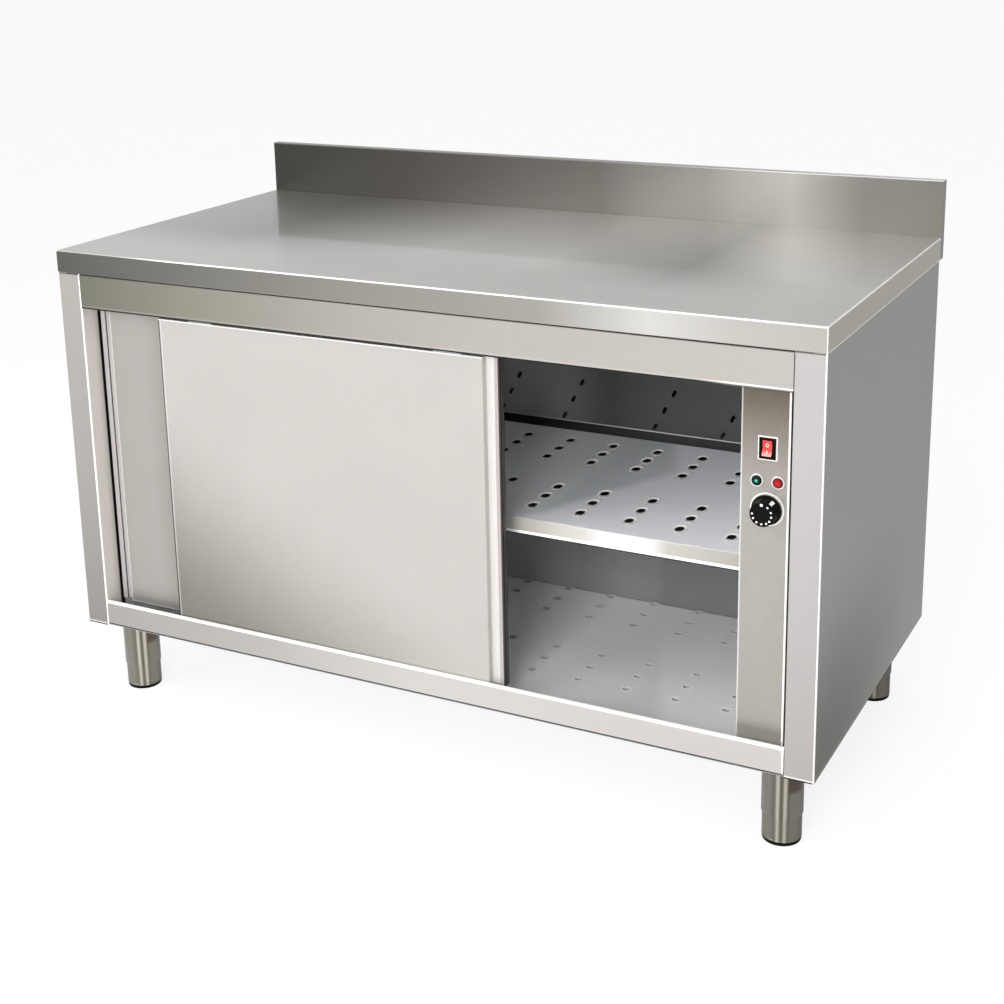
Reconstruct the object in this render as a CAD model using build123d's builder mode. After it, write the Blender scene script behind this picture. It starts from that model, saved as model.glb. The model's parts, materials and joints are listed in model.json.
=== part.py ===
from build123d import *
import os

# Plate warmer cabinet: a heated cupboard with a worktop, two sliding doors, a slotted shelf and
# floor, a control panel at the right and a fan heater in a box along the back wall.
# Millimetres. X runs to the right, Y to the back, Z up; the origin is on the ground, below the
# middle of the worktop. Each folded sheet is drawn by the middle line of its section.

# ---------------------------------------------------------------- driving dimensions
width = 1400.0
depth = 700.0
worktop_height = 850.0
worktop_edge = 40.0  # height of the worktop's folded edge
upstand_height = 100.0  # above the worktop
upstand_depth = 20.0
leg_height = 140.0  # underside of the case above the ground
back_set_in = 25.0  # case back, in front of the worktop's back edge

sheet = 1.5  # worktop, case and frame sheets
thin_sheet = 1.2  # doors, shelf, floor and ducts
liner_sheet = 1.0  # inner walls and door backs
bend = 1.8  # radius of a fold's middle line
edge_round = 2.0  # outer rounding of pressed edges
board = 18.0  # stiffening board under the worktop
fit_gap = 0.3  # between pieces that lie edge to edge

flange = 48.0  # front flange of a side panel
jamb_depth = 50.0  # how far the jamb runs back beside the doors
back_flange = 21.0  # back flange of a side panel
foot_flange = 110.0  # bottom flange of a side panel, above the legs
rail_height = 46.0  # bottom rail, standing on the base panel
rail_flange = 20.0  # bottom flange of the bottom rail
rail_lip = 8.0
rail_hem = 12.0
fascia_height = 62.0
fascia_flange = 60.0
fascia_return = 6.0
frame_flange = 30.0  # top flange of the back panel

floor_rise = 20.0  # slotted floor above the underside
shelf_rise = 294.0  # shelf above the floor
shelf_front = 85.0  # shelf edge behind the case front
shelf_back_gap = 50.0  # shelf to the duct panel
shelf_apron = 30.0
shelf_fold = 18.0  # folded edges at the sides and back of the shelf
shelf_hem = 10.0
shelf_side_gap = 3.0
shelf_stiffener_width = 40.0
shelf_stiffener_rows = 2
bracket_leg = 20.0
bracket_wall = 27.0

wall_insulation = 24.0  # back wall
side_insulation = 37.0  # left wall
ceiling_insulation = 15.5
slab_gap = 0.5  # round an insulation slab
duct_depth = 55.0  # duct behind the slotted panel
heater_box_depth = 172.0
heater_box_drop = 28.0  # top of the heater box below the shelf
duct_slot_height = 26.0  # open strip between the heater box and the duct panel
ceiling_drop = 20.0  # ceiling below the top of the case
ceiling_return = 25.0

compartment_width = 87.0  # control compartment at the right
panel_setback = 31.0  # control panel behind the case front
panel_gap = 11.0  # control panel to the right jamb
panel_return = 14.0
partition_flange = 11.0

slot_length = 17.0
slot_width = 14.0
slot_pitch_x = 87.6
slot_pitch_y = 50.0
slot_end_margin = 20.0  # least distance from the shelf's left edge to a column
slots_per_group = 3
slot_group_gap = 88.0  # added between the front and back groups
shelf_slot_margin_x = 49.0  # from the shelf's right edge to the last column
shelf_slot_margin_y = 60.0  # from the shelf's front edge to the first row
floor_slot_margin_y = 133.0  # from the case front to the first row
duct_slot_length = 15.0
duct_slot_width = 6.5
duct_slot_step_x = 19.0
duct_slot_step_z = 35.0
duct_group_spacing = 135.0
duct_pair_pitch = 324.0
duct_pairs = 4
duct_rows = 2
duct_row_pitch = 150.0
duct_first_slot_margin = 327.0  # from the inner right wall
duct_first_slot_rise = 80.0  # above the shelf

door_setback = 9.0  # front door behind the case front
door_thickness = 20.0
door_gap = 3.0  # between the two doors
door_overlap = 108.0  # of the closed doors
door_floor_gap = 23.0
door_fascia_gap = 4.5
pull_width = 26.0  # finger-pull profile at a door's free end
pull_recess = 16.0
pull_depth = 11.5
pull_rib_set_back = 6.0
door_open = 402.0  # the front door stands this far open
panel_overlap = 10.0  # a closed front door laps over the control panel
jamb_gap = 7.0  # closed rear door to the left jamb
front_stop_gap = 9.0  # front door's left stop to the left jamb
rear_stop_gap = 3.5  # rear door's right stop to the inner right wall
core_gap = 0.5

track_web = 56.0  # outer width of the top track
track_ledge = 14.0
track_height = 43.25
roller_radius = 11.0
roller_width = 6.5
roller_offset = 90.0  # from a door's end to its roller
roller_gap = 0.3  # above the ledge
axle_radius = 3.0
axle_clearance = 0.05
axle_head_radius = 5.0
axle_head = 1.8
hanger_width = 50.0
hanger_sheet = 2.0
hanger_foot = 9.0
hanger_rise = 12.0  # hanger above the axle
roller_side_gap = 1.5
stop_length = 12.0
stop_height = 20.0
stop_depth = 9.0
stop_clearance = 0.5

guide_length = 60.0
guide_offset = 64.0  # middle of the guide from the closed rear door's right end
guide_base = 15.0
guide_fin = 35.0
guide_back_fin = 3.7

switch_width = 26.0
switch_height = 33.0
switch_frame = 2.5  # frame in front of the panel
switch_body_width = 22.0
switch_body_height = 29.0
switch_body_depth = 25.0
switch_offset = 41.0  # middle of the switch from the inner right wall
switch_z = 650.0
rocker_width = 14.4
rocker_height = 24.4
rocker_depth = 6.0
rocker_rise = 2.8  # rocker's ends in front of the frame
rocker_tilt = 8.0  # degrees each way
rocker_cavity_gap = 1.2
rocker_cavity_depth = 14.0
rocker_pin_radius = 1.5
lamp_spacing = 32.5
lamp_z = 599.0
lamp_bezel_radius = 10.5
lamp_bezel = 2.5
lamp_stem_radius = 8.8
lamp_stem = 20.0
lens_radius = 8.0
lens_clearance = 0.1
lens_dome = 2.4
knob_offset = 42.0  # middle of the thermostat and lamps from the inner right wall
knob_z = 555.0
dial_radius = 24.0
dial_skirt = 4.0
knob_radius = 20.0
knob_height = 23.0
grip_width = 8.0
grip_height = 1.0
knob_panel_gap = 1.5
shaft_radius = 3.0
shaft_clearance = 0.05
thermostat_width = 36.0
thermostat_height = 44.0
thermostat_depth = 30.0
thermostat_bush_radius = 5.0
bush_clearance = 0.2

element_radius = 4.25
element_right_margin = 78.5  # to the fan's bulkhead
element_left_margin = 98.0  # from the left inner wall
element_pitch = 70.0
element_rise = 90.0  # lower element above the base panel
element_spread = 50.0  # between the two elements, front to back
element_hole_gap = 0.1
bracket_margin = 100.0
bracket_height = 240.0
bracket_depth = 140.0
fan_size = 150.0
fan_depth = 38.0
fan_bore = 70.0
fan_tip_gap = 2.0
fan_hub_radius = 28.0
fan_blades = 7
fan_blade_sheet = 2.0
fan_arm = 10.0
fan_arm_depth = 4.0
fan_motor_depth = 12.0
fan_pin_radius = 4.0
fan_bulkhead_margin = 142.0  # from the inner right wall
bulb_radius = 3.0
bulb_length = 90.0
bulb_rise = 70.0  # above the shelf, clear of it when it is lifted out of its brackets
capillary_radius = 1.0

terminal_width = 60.0
terminal_depth = 40.0
terminal_height = 32.0
terminal_back_gap = 105.0
wire_radius = 3.0
wire_bend = 25.0
loom_setback = 150.0  # loom's riser behind the case front
gland_radius = 11.0
gland_bore = 5.0
gland_nose = 17.0
gland_rise = 60.0  # above the underside
gland_nut = 6.0
vent_rows = 6
vent_pitch = 14.0
vent_length = 46.0
vent_width = 5.0
vent_rise = 420.0  # above the underside

leg_side_inset = 68.0
leg_front_inset = 65.0
leg_back_inset = 100.0
leg_radius = 33.0
leg_wall = 1.2
leg_disc = 3.0
leg_tube_bottom = 48.0
leg_bush_bottom = 104.0
leg_bush_thickness = 12.0
stud_radius = 6.0
stud_length = 14.0
stud_clearance = 0.5
nut_radius = 11.0
nut_height = 8.0
foot_clearance = 0.3
foot_wall = 1.5
foot_stop_gap = 0.3
foot_pad = 8.0
foot_pad_set_in = 1.0
spindle_radius = 8.0
spindle_clearance = 0.08
spindle_top_gap = 5.0
screw_radius = 4.0
screw_head = 1.6
screw_margin = 10.0
screw_rows = 5
screw_columns = 5

# ---------------------------------------------------------------- places worked out from them
side = width / 2
front = -depth / 2
worktop_back = depth / 2
case_top = worktop_height - worktop_edge
case_back = worktop_back - back_set_in
jamb = side - flange  # opening side of the left and right jambs
jamb_back = front + jamb_depth
base_top = leg_height + 2 * sheet
rail_top = base_top + rail_height
fascia_bottom = case_top - fascia_height
floor_z = leg_height + floor_rise
shelf_z = floor_z + shelf_rise
ceiling_z = case_top - ceiling_drop
liner_left = -jamb - sheet  # face of the left inner wall
partition_x = jamb - compartment_width  # face of the inner right wall
liner_back = case_back - wall_insulation - liner_sheet  # face of the rear inner wall
duct_y = liner_back - duct_depth
heater_y = liner_back - heater_box_depth
heater_top = shelf_z - heater_box_drop
panel_y = front + panel_setback
panel_right = jamb - panel_gap
shelf_front_y = front + shelf_front
shelf_back_y = duct_y - shelf_back_gap
shelf_right = partition_x - shelf_side_gap
shelf_left = liner_left + shelf_side_gap
slotted_width = shelf_right - shelf_slot_margin_x - slot_end_margin - shelf_left
slot_columns = int(slotted_width // slot_pitch_x) + 1
switch_x = partition_x + switch_offset
knob_x = partition_x + knob_offset

door_width = (partition_x + panel_overlap - (-jamb + jamb_gap) + door_overlap) / 2
door_bottom = floor_z + door_floor_gap
door_top = fascia_bottom - door_fascia_gap
door_height = door_top - door_bottom
front_door_y = front + door_setback
rear_door_y = front_door_y + door_thickness + door_gap
front_door_right = partition_x + panel_overlap - door_open
front_door_left = front_door_right - door_width
rear_door_left = -jamb + jamb_gap
rear_door_right = rear_door_left + door_width
front_travel_left = front_door_left + jamb - front_stop_gap
rear_travel = partition_x - rear_stop_gap - rear_door_right

track_front = front + sheet
track_back = track_front + track_web
track_top = case_top - sheet
ledge_z = track_top - track_height + sheet
axle_z = ledge_z + roller_gap + roller_radius
middle_of = sheet / 2
thin_middle = thin_sheet / 2
joint_half_width = jamb - fit_gap

leg_places = [
    (x, y)
    for x in (-side + leg_side_inset, side - leg_side_inset)
    for y in (front + leg_front_inset, worktop_back - leg_back_inset)
]
leg_names = ["front_left_foot", "rear_left_foot", "front_right_foot", "rear_right_foot"]

os.makedirs("parts", exist_ok=True)


def save(builder, name):
    """Labels a finished piece and writes it."""
    builder.part.label = name
    export_step(builder.part, f"parts/{name}.step")


def fold(points, thickness):
    """Section of a folded sheet, drawn along the middle line of its thickness."""
    with BuildLine() as middle_line:
        FilletPolyline(*points, radius=bend)
    trace(middle_line.edges(), line_width=thickness)


def slab(x, y, z, mode=Mode.ADD):
    """A block between the low and high limits given for each axis."""
    centre = [(low + high) / 2 for low, high in (x, y, z)]
    with Locations(tuple(centre)):
        Box(x[1] - x[0], y[1] - y[0], z[1] - z[0], mode=mode)


def rod(start, end, radius, mode=Mode.ADD):
    """A round bar from one point to another."""
    with Locations(Plane(origin=start, z_dir=Vector(*end) - Vector(*start))):
        Cylinder(
            radius,
            (Vector(*end) - Vector(*start)).length,
            align=(Align.CENTER, Align.CENTER, Align.MIN),
            mode=mode,
        )


def pipe(points, bend_radius, radius):
    """A round bar along a line with rounded corners."""
    with BuildLine() as path:
        FilletPolyline(*points, radius=bend_radius)
    wire = path.wires()[0]
    with BuildSketch(Plane(origin=wire @ 0, z_dir=wire % 0)) as section:
        Circle(radius)
    sweep(section.sketch, path=wire)


# ---------------------------------------------------------------- worktop
with BuildPart() as worktop:
    with BuildSketch(Plane.YZ.offset(-side)):
        fold(
            [
                (front + rail_flange, case_top + middle_of),
                (front + middle_of, case_top + middle_of),
                (front + middle_of, worktop_height - middle_of),
                (worktop_back - upstand_depth - middle_of, worktop_height - middle_of),
                (worktop_back - upstand_depth - middle_of, case_top + middle_of),
            ],
            sheet,
        )
    extrude(amount=width)
    for outer, inner in ((-side, -side + sheet), (side, side - sheet)):
        x = sorted((outer, inner))
        slab(x, (front + sheet, worktop_back - upstand_depth - sheet), (case_top, worktop_height - sheet))
        x = sorted((outer, outer + (inner - outer) / sheet * rail_flange))
        slab(x, (front + sheet, worktop_back - upstand_depth - sheet), (case_top, case_top + sheet))
    side_edges = worktop.edges().filter_by(Axis.Y).group_by(Axis.Z)[-1]
    fillet(side_edges.sort_by(Axis.X)[0], edge_round / 2)
    side_edges = worktop.edges().filter_by(Axis.Y).group_by(Axis.Z)[-1]
    fillet(side_edges.sort_by(Axis.X)[-1], edge_round / 2)
save(worktop, "worktop")

with BuildPart() as upstand:
    with BuildSketch(Plane.YZ.offset(-side + sheet)):
        fold(
            [
                (worktop_back - middle_of, worktop_height + upstand_height - rail_flange),
                (worktop_back - middle_of, worktop_height + upstand_height - middle_of),
                (worktop_back - upstand_depth + middle_of, worktop_height + upstand_height - middle_of),
                (worktop_back - upstand_depth + middle_of, case_top),
            ],
            sheet,
        )
    extrude(amount=width - 2 * sheet)
    for x in ((-side, -side + sheet), (side - sheet, side)):
        slab(x, (worktop_back - upstand_depth, worktop_back), (case_top, worktop_height + upstand_height))
save(upstand, "upstand")

with BuildPart() as worktop_board:
    slab(
        (-side + sheet + fit_gap, side - sheet - fit_gap),
        (front + sheet + bend, worktop_back - upstand_depth - sheet - bend),
        (worktop_height - sheet - board, worktop_height - sheet),
    )
save(worktop_board, "worktop_board")


# ---------------------------------------------------------------- case
def side_panel(hand):
    """Folded side panel: back flange, outer side, front flange and jamb; hand is -1 or 1."""
    with BuildPart() as panel:
        with BuildSketch(Plane.XY.offset(leg_height)):
            fold(
                [
                    (hand * (side - back_flange), case_back - middle_of),
                    (hand * (side - middle_of), case_back - middle_of),
                    (hand * (side - middle_of), front + middle_of),
                    (hand * (jamb + middle_of), front + middle_of),
                    (hand * (jamb + middle_of), jamb_back),
                ],
                sheet,
            )
        extrude(amount=case_top - leg_height)
        x = sorted((hand * (side - sheet), hand * (jamb + sheet)))
        slab(x, (front + sheet, case_back - sheet), (case_top - sheet, case_top))
        x = sorted((hand * (side - sheet), hand * (side - foot_flange)))
        slab(x, (front + rail_flange + fit_gap, jamb_back), (leg_height, leg_height + sheet))
        slab(x, (jamb_back, case_back - sheet), (leg_height, leg_height + sheet))
        for place in leg_places:
            if place[0] * hand > 0:
                rod(
                    (*place, leg_height - sheet),
                    (*place, base_top),
                    stud_radius + stud_clearance,
                    mode=Mode.SUBTRACT,
                )
    return panel


left_side_panel = side_panel(-1)
save(left_side_panel, "left_side_panel")
right_side_panel = side_panel(1)
save(right_side_panel, "right_side_panel")

with BuildPart() as bottom_rail:
    with BuildSketch(Plane.YZ.offset(-joint_half_width)):
        fold(
            [
                (front + rail_flange, base_top + middle_of),
                (front + middle_of, base_top + middle_of),
                (front + middle_of, rail_top - middle_of),
                (front + rail_lip - middle_of, rail_top - middle_of),
                (front + rail_lip - middle_of, rail_top - rail_hem),
            ],
            sheet,
        )
    extrude(amount=2 * joint_half_width)
save(bottom_rail, "bottom_rail")

with BuildPart() as front_fascia:
    with BuildSketch(Plane.YZ.offset(-joint_half_width)):
        fold(
            [
                (front + fascia_flange, case_top - middle_of),
                (front + middle_of, case_top - middle_of),
                (front + middle_of, fascia_bottom + middle_of),
                (front + fascia_return, fascia_bottom + middle_of),
            ],
            sheet,
        )
    extrude(amount=2 * joint_half_width)
save(front_fascia, "front_fascia")

with BuildPart() as base_panel:
    base_z = (leg_height + sheet, base_top)
    slab((-joint_half_width, joint_half_width), (front + sheet, jamb_back), base_z)
    slab((-side + sheet, side - sheet), (jamb_back + fit_gap, case_back - sheet - bend), base_z)
    slab((-joint_half_width, joint_half_width), (jamb_back, jamb_back + 2 * fit_gap), base_z)
    for place in leg_places:
        rod(
            (*place, leg_height),
            (*place, base_top + sheet),
            stud_radius + stud_clearance,
            mode=Mode.SUBTRACT,
        )
save(base_panel, "base_panel")

compartment_middle = (partition_x + sheet + jamb) / 2
with BuildPart() as back_panel:
    slab(
        (-side + screw_margin / 2, side - screw_margin / 2),
        (case_back, case_back + sheet),
        (leg_height + sheet, case_top),
    )
    slab(
        (-joint_half_width, joint_half_width),
        (case_back - frame_flange, case_back),
        (case_top - sheet, case_top),
    )
    with BuildSketch(Plane.XZ.offset(-case_back - 2 * sheet)):
        with Locations((compartment_middle, leg_height + vent_rise)):
            with GridLocations(1, vent_pitch, 1, vent_rows):
                SlotOverall(vent_length, vent_width)
    extrude(amount=3 * sheet, mode=Mode.SUBTRACT)
    rod(
        (compartment_middle, case_back - sheet, leg_height + gland_rise),
        (compartment_middle, case_back + 2 * sheet, leg_height + gland_rise),
        gland_radius - gland_nut / 2,
        mode=Mode.SUBTRACT,
    )
save(back_panel, "back_panel")

# ---------------------------------------------------------------- inner walls
with BuildPart() as left_inner_wall:
    slab(
        (liner_left - liner_sheet, liner_left),
        (jamb_back - side_insulation / 3, liner_back),
        (base_top, ceiling_z + liner_sheet),
    )
save(left_inner_wall, "left_inner_wall")

loom_y = front + loom_setback
with BuildPart() as right_inner_wall:
    with BuildSketch(Plane.XY.offset(base_top)):
        fold(
            [
                (partition_x + partition_flange, panel_y + sheet + middle_of),
                (partition_x + middle_of, panel_y + sheet + middle_of),
                (partition_x + middle_of, liner_back),
            ],
            sheet,
        )
    extrude(amount=ceiling_z + liner_sheet - base_top)
    terminal_y = case_back - terminal_back_gap
    heater_wire_y = (heater_y + liner_back) / 2
    heater_wire_z = base_top + terminal_height / 2
    bulb_y = duct_y - bulb_length
    bulb_z = shelf_z + bulb_rise
    for y, z, radius in (
        (heater_wire_y, heater_wire_z, wire_radius),
        (bulb_y, bulb_z, capillary_radius),
    ):
        rod(
            (partition_x - sheet, y, z),
            (partition_x + 2 * sheet, y, z),
            radius + bush_clearance,
            mode=Mode.SUBTRACT,
        )
save(right_inner_wall, "right_inner_wall")

with BuildPart() as rear_inner_wall:
    slab(
        (liner_left - liner_sheet, partition_x + sheet),
        (liner_back, liner_back + liner_sheet),
        (base_top, ceiling_z),
    )
save(rear_inner_wall, "rear_inner_wall")

ceiling_front = track_back + 2
with BuildPart() as ceiling_panel:
    with BuildSketch(Plane.YZ.offset(liner_left)):
        fold(
            [
                (ceiling_front + liner_sheet / 2, ceiling_z - ceiling_return),
                (ceiling_front + liner_sheet / 2, ceiling_z + liner_sheet / 2),
                (liner_back + liner_sheet, ceiling_z + liner_sheet / 2),
            ],
            liner_sheet,
        )
    extrude(amount=partition_x - liner_left)
save(ceiling_panel, "ceiling_panel")

with BuildPart() as insulation:
    slab(
        (liner_left - side_insulation + slab_gap, liner_left - liner_sheet - slab_gap),
        (front + sheet + bend + slab_gap, liner_back),
        (base_top + slab_gap, case_top - sheet - slab_gap),
    )
    slab(
        (liner_left, partition_x),
        (liner_back + liner_sheet + slab_gap, case_back - sheet - slab_gap),
        (base_top + slab_gap, ceiling_z),
    )
    slab(
        (-jamb + sheet, partition_x),
        (ceiling_front + bend + slab_gap, liner_back),
        (ceiling_z + liner_sheet + slab_gap, ceiling_z + liner_sheet + ceiling_insulation),
    )
save(insulation, "insulation")


# ---------------------------------------------------------------- floor, shelf and ducts
def slot_points(right_edge, front_edge, margin_x, margin_y):
    """Centres of the plate slots: groups in rows, columns counted from the right edge."""
    rows = [
        front_edge + margin_y + row * slot_pitch_y + group * (slots_per_group * slot_pitch_y + slot_group_gap)
        for group in (0, 1)
        for row in range(slots_per_group)
    ]
    columns = [right_edge - margin_x - column * slot_pitch_x for column in range(slot_columns)]
    return [(x, y) for x in columns for y in rows]


with BuildPart() as slotted_floor:
    floor_front = front + rail_lip + fit_gap
    with BuildSketch(Plane.YZ.offset(liner_left + fit_gap)):
        fold(
            [
                (floor_front + thin_middle, base_top + sheet),
                (floor_front + thin_middle, floor_z - thin_middle),
                (heater_y - thin_middle - fit_gap, floor_z - thin_middle),
                (heater_y - thin_middle - fit_gap, base_top),
            ],
            thin_sheet,
        )
    extrude(amount=partition_x - liner_left - 2 * fit_gap)
    slab(
        (-jamb - 2 * sheet, -jamb + fit_gap),
        (front, jamb_back + fit_gap),
        (base_top, floor_z + sheet),
        mode=Mode.SUBTRACT,
    )
    with BuildSketch(Plane.XY.offset(floor_z + sheet)):
        with Locations(*slot_points(shelf_right, front, shelf_slot_margin_x, floor_slot_margin_y)):
            SlotOverall(slot_length, slot_width)
    extrude(amount=-3 * sheet, mode=Mode.SUBTRACT)
save(slotted_floor, "slotted_floor")

with BuildPart() as shelf:
    with BuildSketch(Plane.YZ.offset(shelf_left)):
        fold(
            [
                (shelf_front_y + shelf_hem, shelf_z - shelf_apron + thin_middle),
                (shelf_front_y + thin_middle, shelf_z - shelf_apron + thin_middle),
                (shelf_front_y + thin_middle, shelf_z - thin_middle),
                (shelf_back_y - thin_middle, shelf_z - thin_middle),
                (shelf_back_y - thin_middle, shelf_z - shelf_fold),
            ],
            thin_sheet,
        )
    extrude(amount=shelf_right - shelf_left)
    for x in ((shelf_left, shelf_left + thin_sheet), (shelf_right - thin_sheet, shelf_right)):
        slab(
            x,
            (shelf_front_y + thin_sheet, shelf_back_y - thin_sheet),
            (shelf_z - shelf_fold, shelf_z - thin_sheet),
        )
    shelf_depth = shelf_back_y - shelf_front_y
    for row in range(shelf_stiffener_rows):
        y = shelf_front_y + shelf_depth * (row + 1) / (shelf_stiffener_rows + 1)
        y_low, y_high = y - shelf_stiffener_width / 2, y + shelf_stiffener_width / 2
        x = (shelf_left + 2 * bracket_leg, shelf_right - 2 * bracket_leg)
        slab(x, (y_low, y_high), (shelf_z - shelf_fold, shelf_z - thin_sheet))
        slab(
            x,
            (y_low + thin_sheet, y_high - thin_sheet),
            (shelf_z - shelf_fold + thin_sheet, shelf_z - thin_sheet),
            mode=Mode.SUBTRACT,
        )
    with BuildSketch(Plane.XY.offset(shelf_z + sheet)):
        with Locations(*slot_points(shelf_right, shelf_front_y, shelf_slot_margin_x, shelf_slot_margin_y)):
            SlotOverall(slot_length, slot_width)
    extrude(amount=-3 * sheet, mode=Mode.SUBTRACT)
save(shelf, "shelf")

bracket_top = shelf_z - shelf_fold
with BuildPart() as shelf_brackets:
    for wall, hand in ((liner_left, 1), (partition_x, -1)):
        y = (shelf_front_y + bracket_wall, heater_y - bracket_leg / 2)
        slab(sorted((wall, wall + hand * bracket_leg)), y, (bracket_top - sheet, bracket_top))
        slab(sorted((wall, wall + hand * sheet)), y, (bracket_top - bracket_wall, bracket_top - sheet))
save(shelf_brackets, "shelf_brackets")

with BuildPart() as heater_cover:
    with BuildSketch(Plane.YZ.offset(liner_left + fit_gap)):
        fold(
            [
                (heater_y + thin_middle, base_top),
                (heater_y + thin_middle, heater_top - thin_middle),
                (duct_y + thin_sheet, heater_top - thin_middle),
            ],
            thin_sheet,
        )
    extrude(amount=partition_x - liner_left - 2 * fit_gap)
save(heater_cover, "heater_cover")

duct_bottom = heater_top + duct_slot_height
with BuildPart() as duct_panel:
    with BuildSketch(Plane.YZ.offset(liner_left + fit_gap)):
        fold(
            [
                (duct_y + shelf_hem, duct_bottom + thin_middle),
                (duct_y + thin_middle, duct_bottom + thin_middle),
                (duct_y + thin_middle, ceiling_z),
            ],
            thin_sheet,
        )
    extrude(amount=partition_x - liner_left - 2 * fit_gap)
    top_slot_z = shelf_z + duct_first_slot_rise
    group_x = partition_x - duct_first_slot_margin
    duct_slots = [
        (
            group_x - pair * duct_pair_pitch + member * duct_group_spacing - step * duct_slot_step_x,
            top_slot_z + row * duct_row_pitch - step * duct_slot_step_z,
        )
        for pair in range(duct_pairs - 1)
        for member in (0, 1)
        for row in range(duct_rows)
        for step in range(slots_per_group)
    ]
    with BuildSketch(Plane.XZ.offset(-duct_y - 2 * sheet)):
        with Locations(*duct_slots):
            SlotOverall(duct_slot_length, duct_slot_width, rotation=60)
    extrude(amount=4 * sheet, mode=Mode.SUBTRACT)
save(duct_panel, "duct_panel")


# ---------------------------------------------------------------- sliding doors
def door_skin(left, free_end, face_y):
    """Pressed front tray of a door, open at the back, without its finger pull."""
    flat = (left, left + door_width - pull_width) if free_end > 0 else (left + pull_width, left + door_width)
    with BuildPart() as skin:
        slab(flat, (face_y, face_y + door_thickness - liner_sheet), (door_bottom, door_top))
        fillet(skin.faces().sort_by(Axis.Y)[0].edges(), edge_round)
        offset(amount=-thin_sheet, openings=skin.faces().sort_by(Axis.Y)[-1])
    return skin


def door_back(left, face_y):
    """Flat sheet that closes a door's back."""
    with BuildPart() as back:
        slab(
            (left, left + door_width),
            (face_y + door_thickness - liner_sheet, face_y + door_thickness),
            (door_bottom, door_top),
        )
    return back


def door_core(left, free_end, face_y):
    """Insulation between a door's sheets."""
    inset = edge_round + core_gap
    flat = (left, left + door_width - pull_width) if free_end > 0 else (left + pull_width, left + door_width)
    with BuildPart() as core:
        slab(
            (flat[0] + inset, flat[1] - inset),
            (face_y + thin_sheet + core_gap, face_y + door_thickness - liner_sheet - core_gap),
            (door_bottom + inset, door_top - inset),
        )
    return core


def door_pull(left, free_end, face_y):
    """Folded finger pull over the full height: a recess, then a low rib at the door's end."""
    end = left + door_width if free_end > 0 else left
    plan = [
        (pull_width, pull_depth + thin_middle),
        (pull_width - pull_recess - thin_middle, pull_depth + thin_middle),
        (pull_width - pull_recess - thin_middle, pull_rib_set_back + thin_middle),
        (thin_middle, pull_rib_set_back + thin_middle),
        (thin_middle, door_thickness - liner_sheet),
    ]
    with BuildPart() as pull:
        with BuildSketch(Plane.XY.offset(door_bottom)):
            fold([(end - free_end * x, face_y + y) for x, y in plan], thin_sheet)
        extrude(amount=door_height)
    return pull


def hanger_xs(left):
    """Centres of a door's two rollers along X."""
    return (left + roller_offset, left + door_width - roller_offset)


def door_hangers(left, plate_y, roller_side):
    """Two upright plates on a door, each with a foot and an axle; roller_side is -1 or 1 in Y."""
    roller_y = plate_y + roller_side * (hanger_sheet + roller_side_gap)
    axle_end = roller_y + roller_side * (roller_width + roller_gap)
    with BuildPart() as hangers:
        for x in hanger_xs(left):
            plate = (x - hanger_width / 2, x + hanger_width / 2)
            y = sorted((plate_y, plate_y + roller_side * hanger_sheet))
            slab(plate, y, (door_top, axle_z + hanger_rise))
            y = sorted((plate_y, plate_y + roller_side * hanger_foot))
            slab(plate, y, (door_top, door_top + hanger_sheet))
            rod((x, plate_y, axle_z), (x, axle_end, axle_z), axle_radius)
            rod((x, axle_end, axle_z), (x, axle_end + roller_side * axle_head, axle_z), axle_head_radius)
    return hangers


def door_roller(x, plate_y, roller_side):
    """Plastic tyre and ball race of a roller, taken as one ring."""
    roller_y = plate_y + roller_side * (hanger_sheet + roller_side_gap)
    start, end = (x, roller_y, axle_z), (x, roller_y + roller_side * roller_width, axle_z)
    with BuildPart() as roller:
        rod(start, end, roller_radius)
        fillet(roller.edges().filter_by(GeomType.CIRCLE), axle_head)
        rod(start, end, axle_radius + axle_clearance, mode=Mode.SUBTRACT)
    return roller


front_plate_y = front_door_y + door_thickness / 2
rear_plate_y = rear_door_y + door_thickness / 2 - hanger_sheet
doors = (
    ("front_door", front_door_left, 1, front_door_y, front_plate_y, -1),
    ("rear_door", rear_door_left, -1, rear_door_y, rear_plate_y, 1),
)
for name, left, free_end, face_y, plate_y, roller_side in doors:
    save(door_skin(left, free_end, face_y), f"{name}_skin")
    save(door_back(left, face_y), f"{name}_back")
    save(door_core(left, free_end, face_y), f"{name}_core")
    save(door_pull(left, free_end, face_y), f"{name}_pull")
    save(door_hangers(left, plate_y, roller_side), f"{name}_hangers")
    for place, x in zip(("left", "right"), hanger_xs(left)):
        save(door_roller(x, plate_y, roller_side), f"{name}_{place}_roller")

with BuildPart() as door_track:
    ledge_middle = ledge_z - middle_of
    with BuildSketch(Plane.YZ.offset(-joint_half_width)):
        fold(
            [
                (track_front + track_ledge, ledge_middle),
                (track_front + middle_of, ledge_middle),
                (track_front + middle_of, track_top - middle_of),
                (track_back - middle_of, track_top - middle_of),
                (track_back - middle_of, ledge_middle),
                (track_back - track_ledge, ledge_middle),
            ],
            sheet,
        )
    extrude(amount=joint_half_width + partition_x - sheet)
save(door_track, "door_track")

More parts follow.
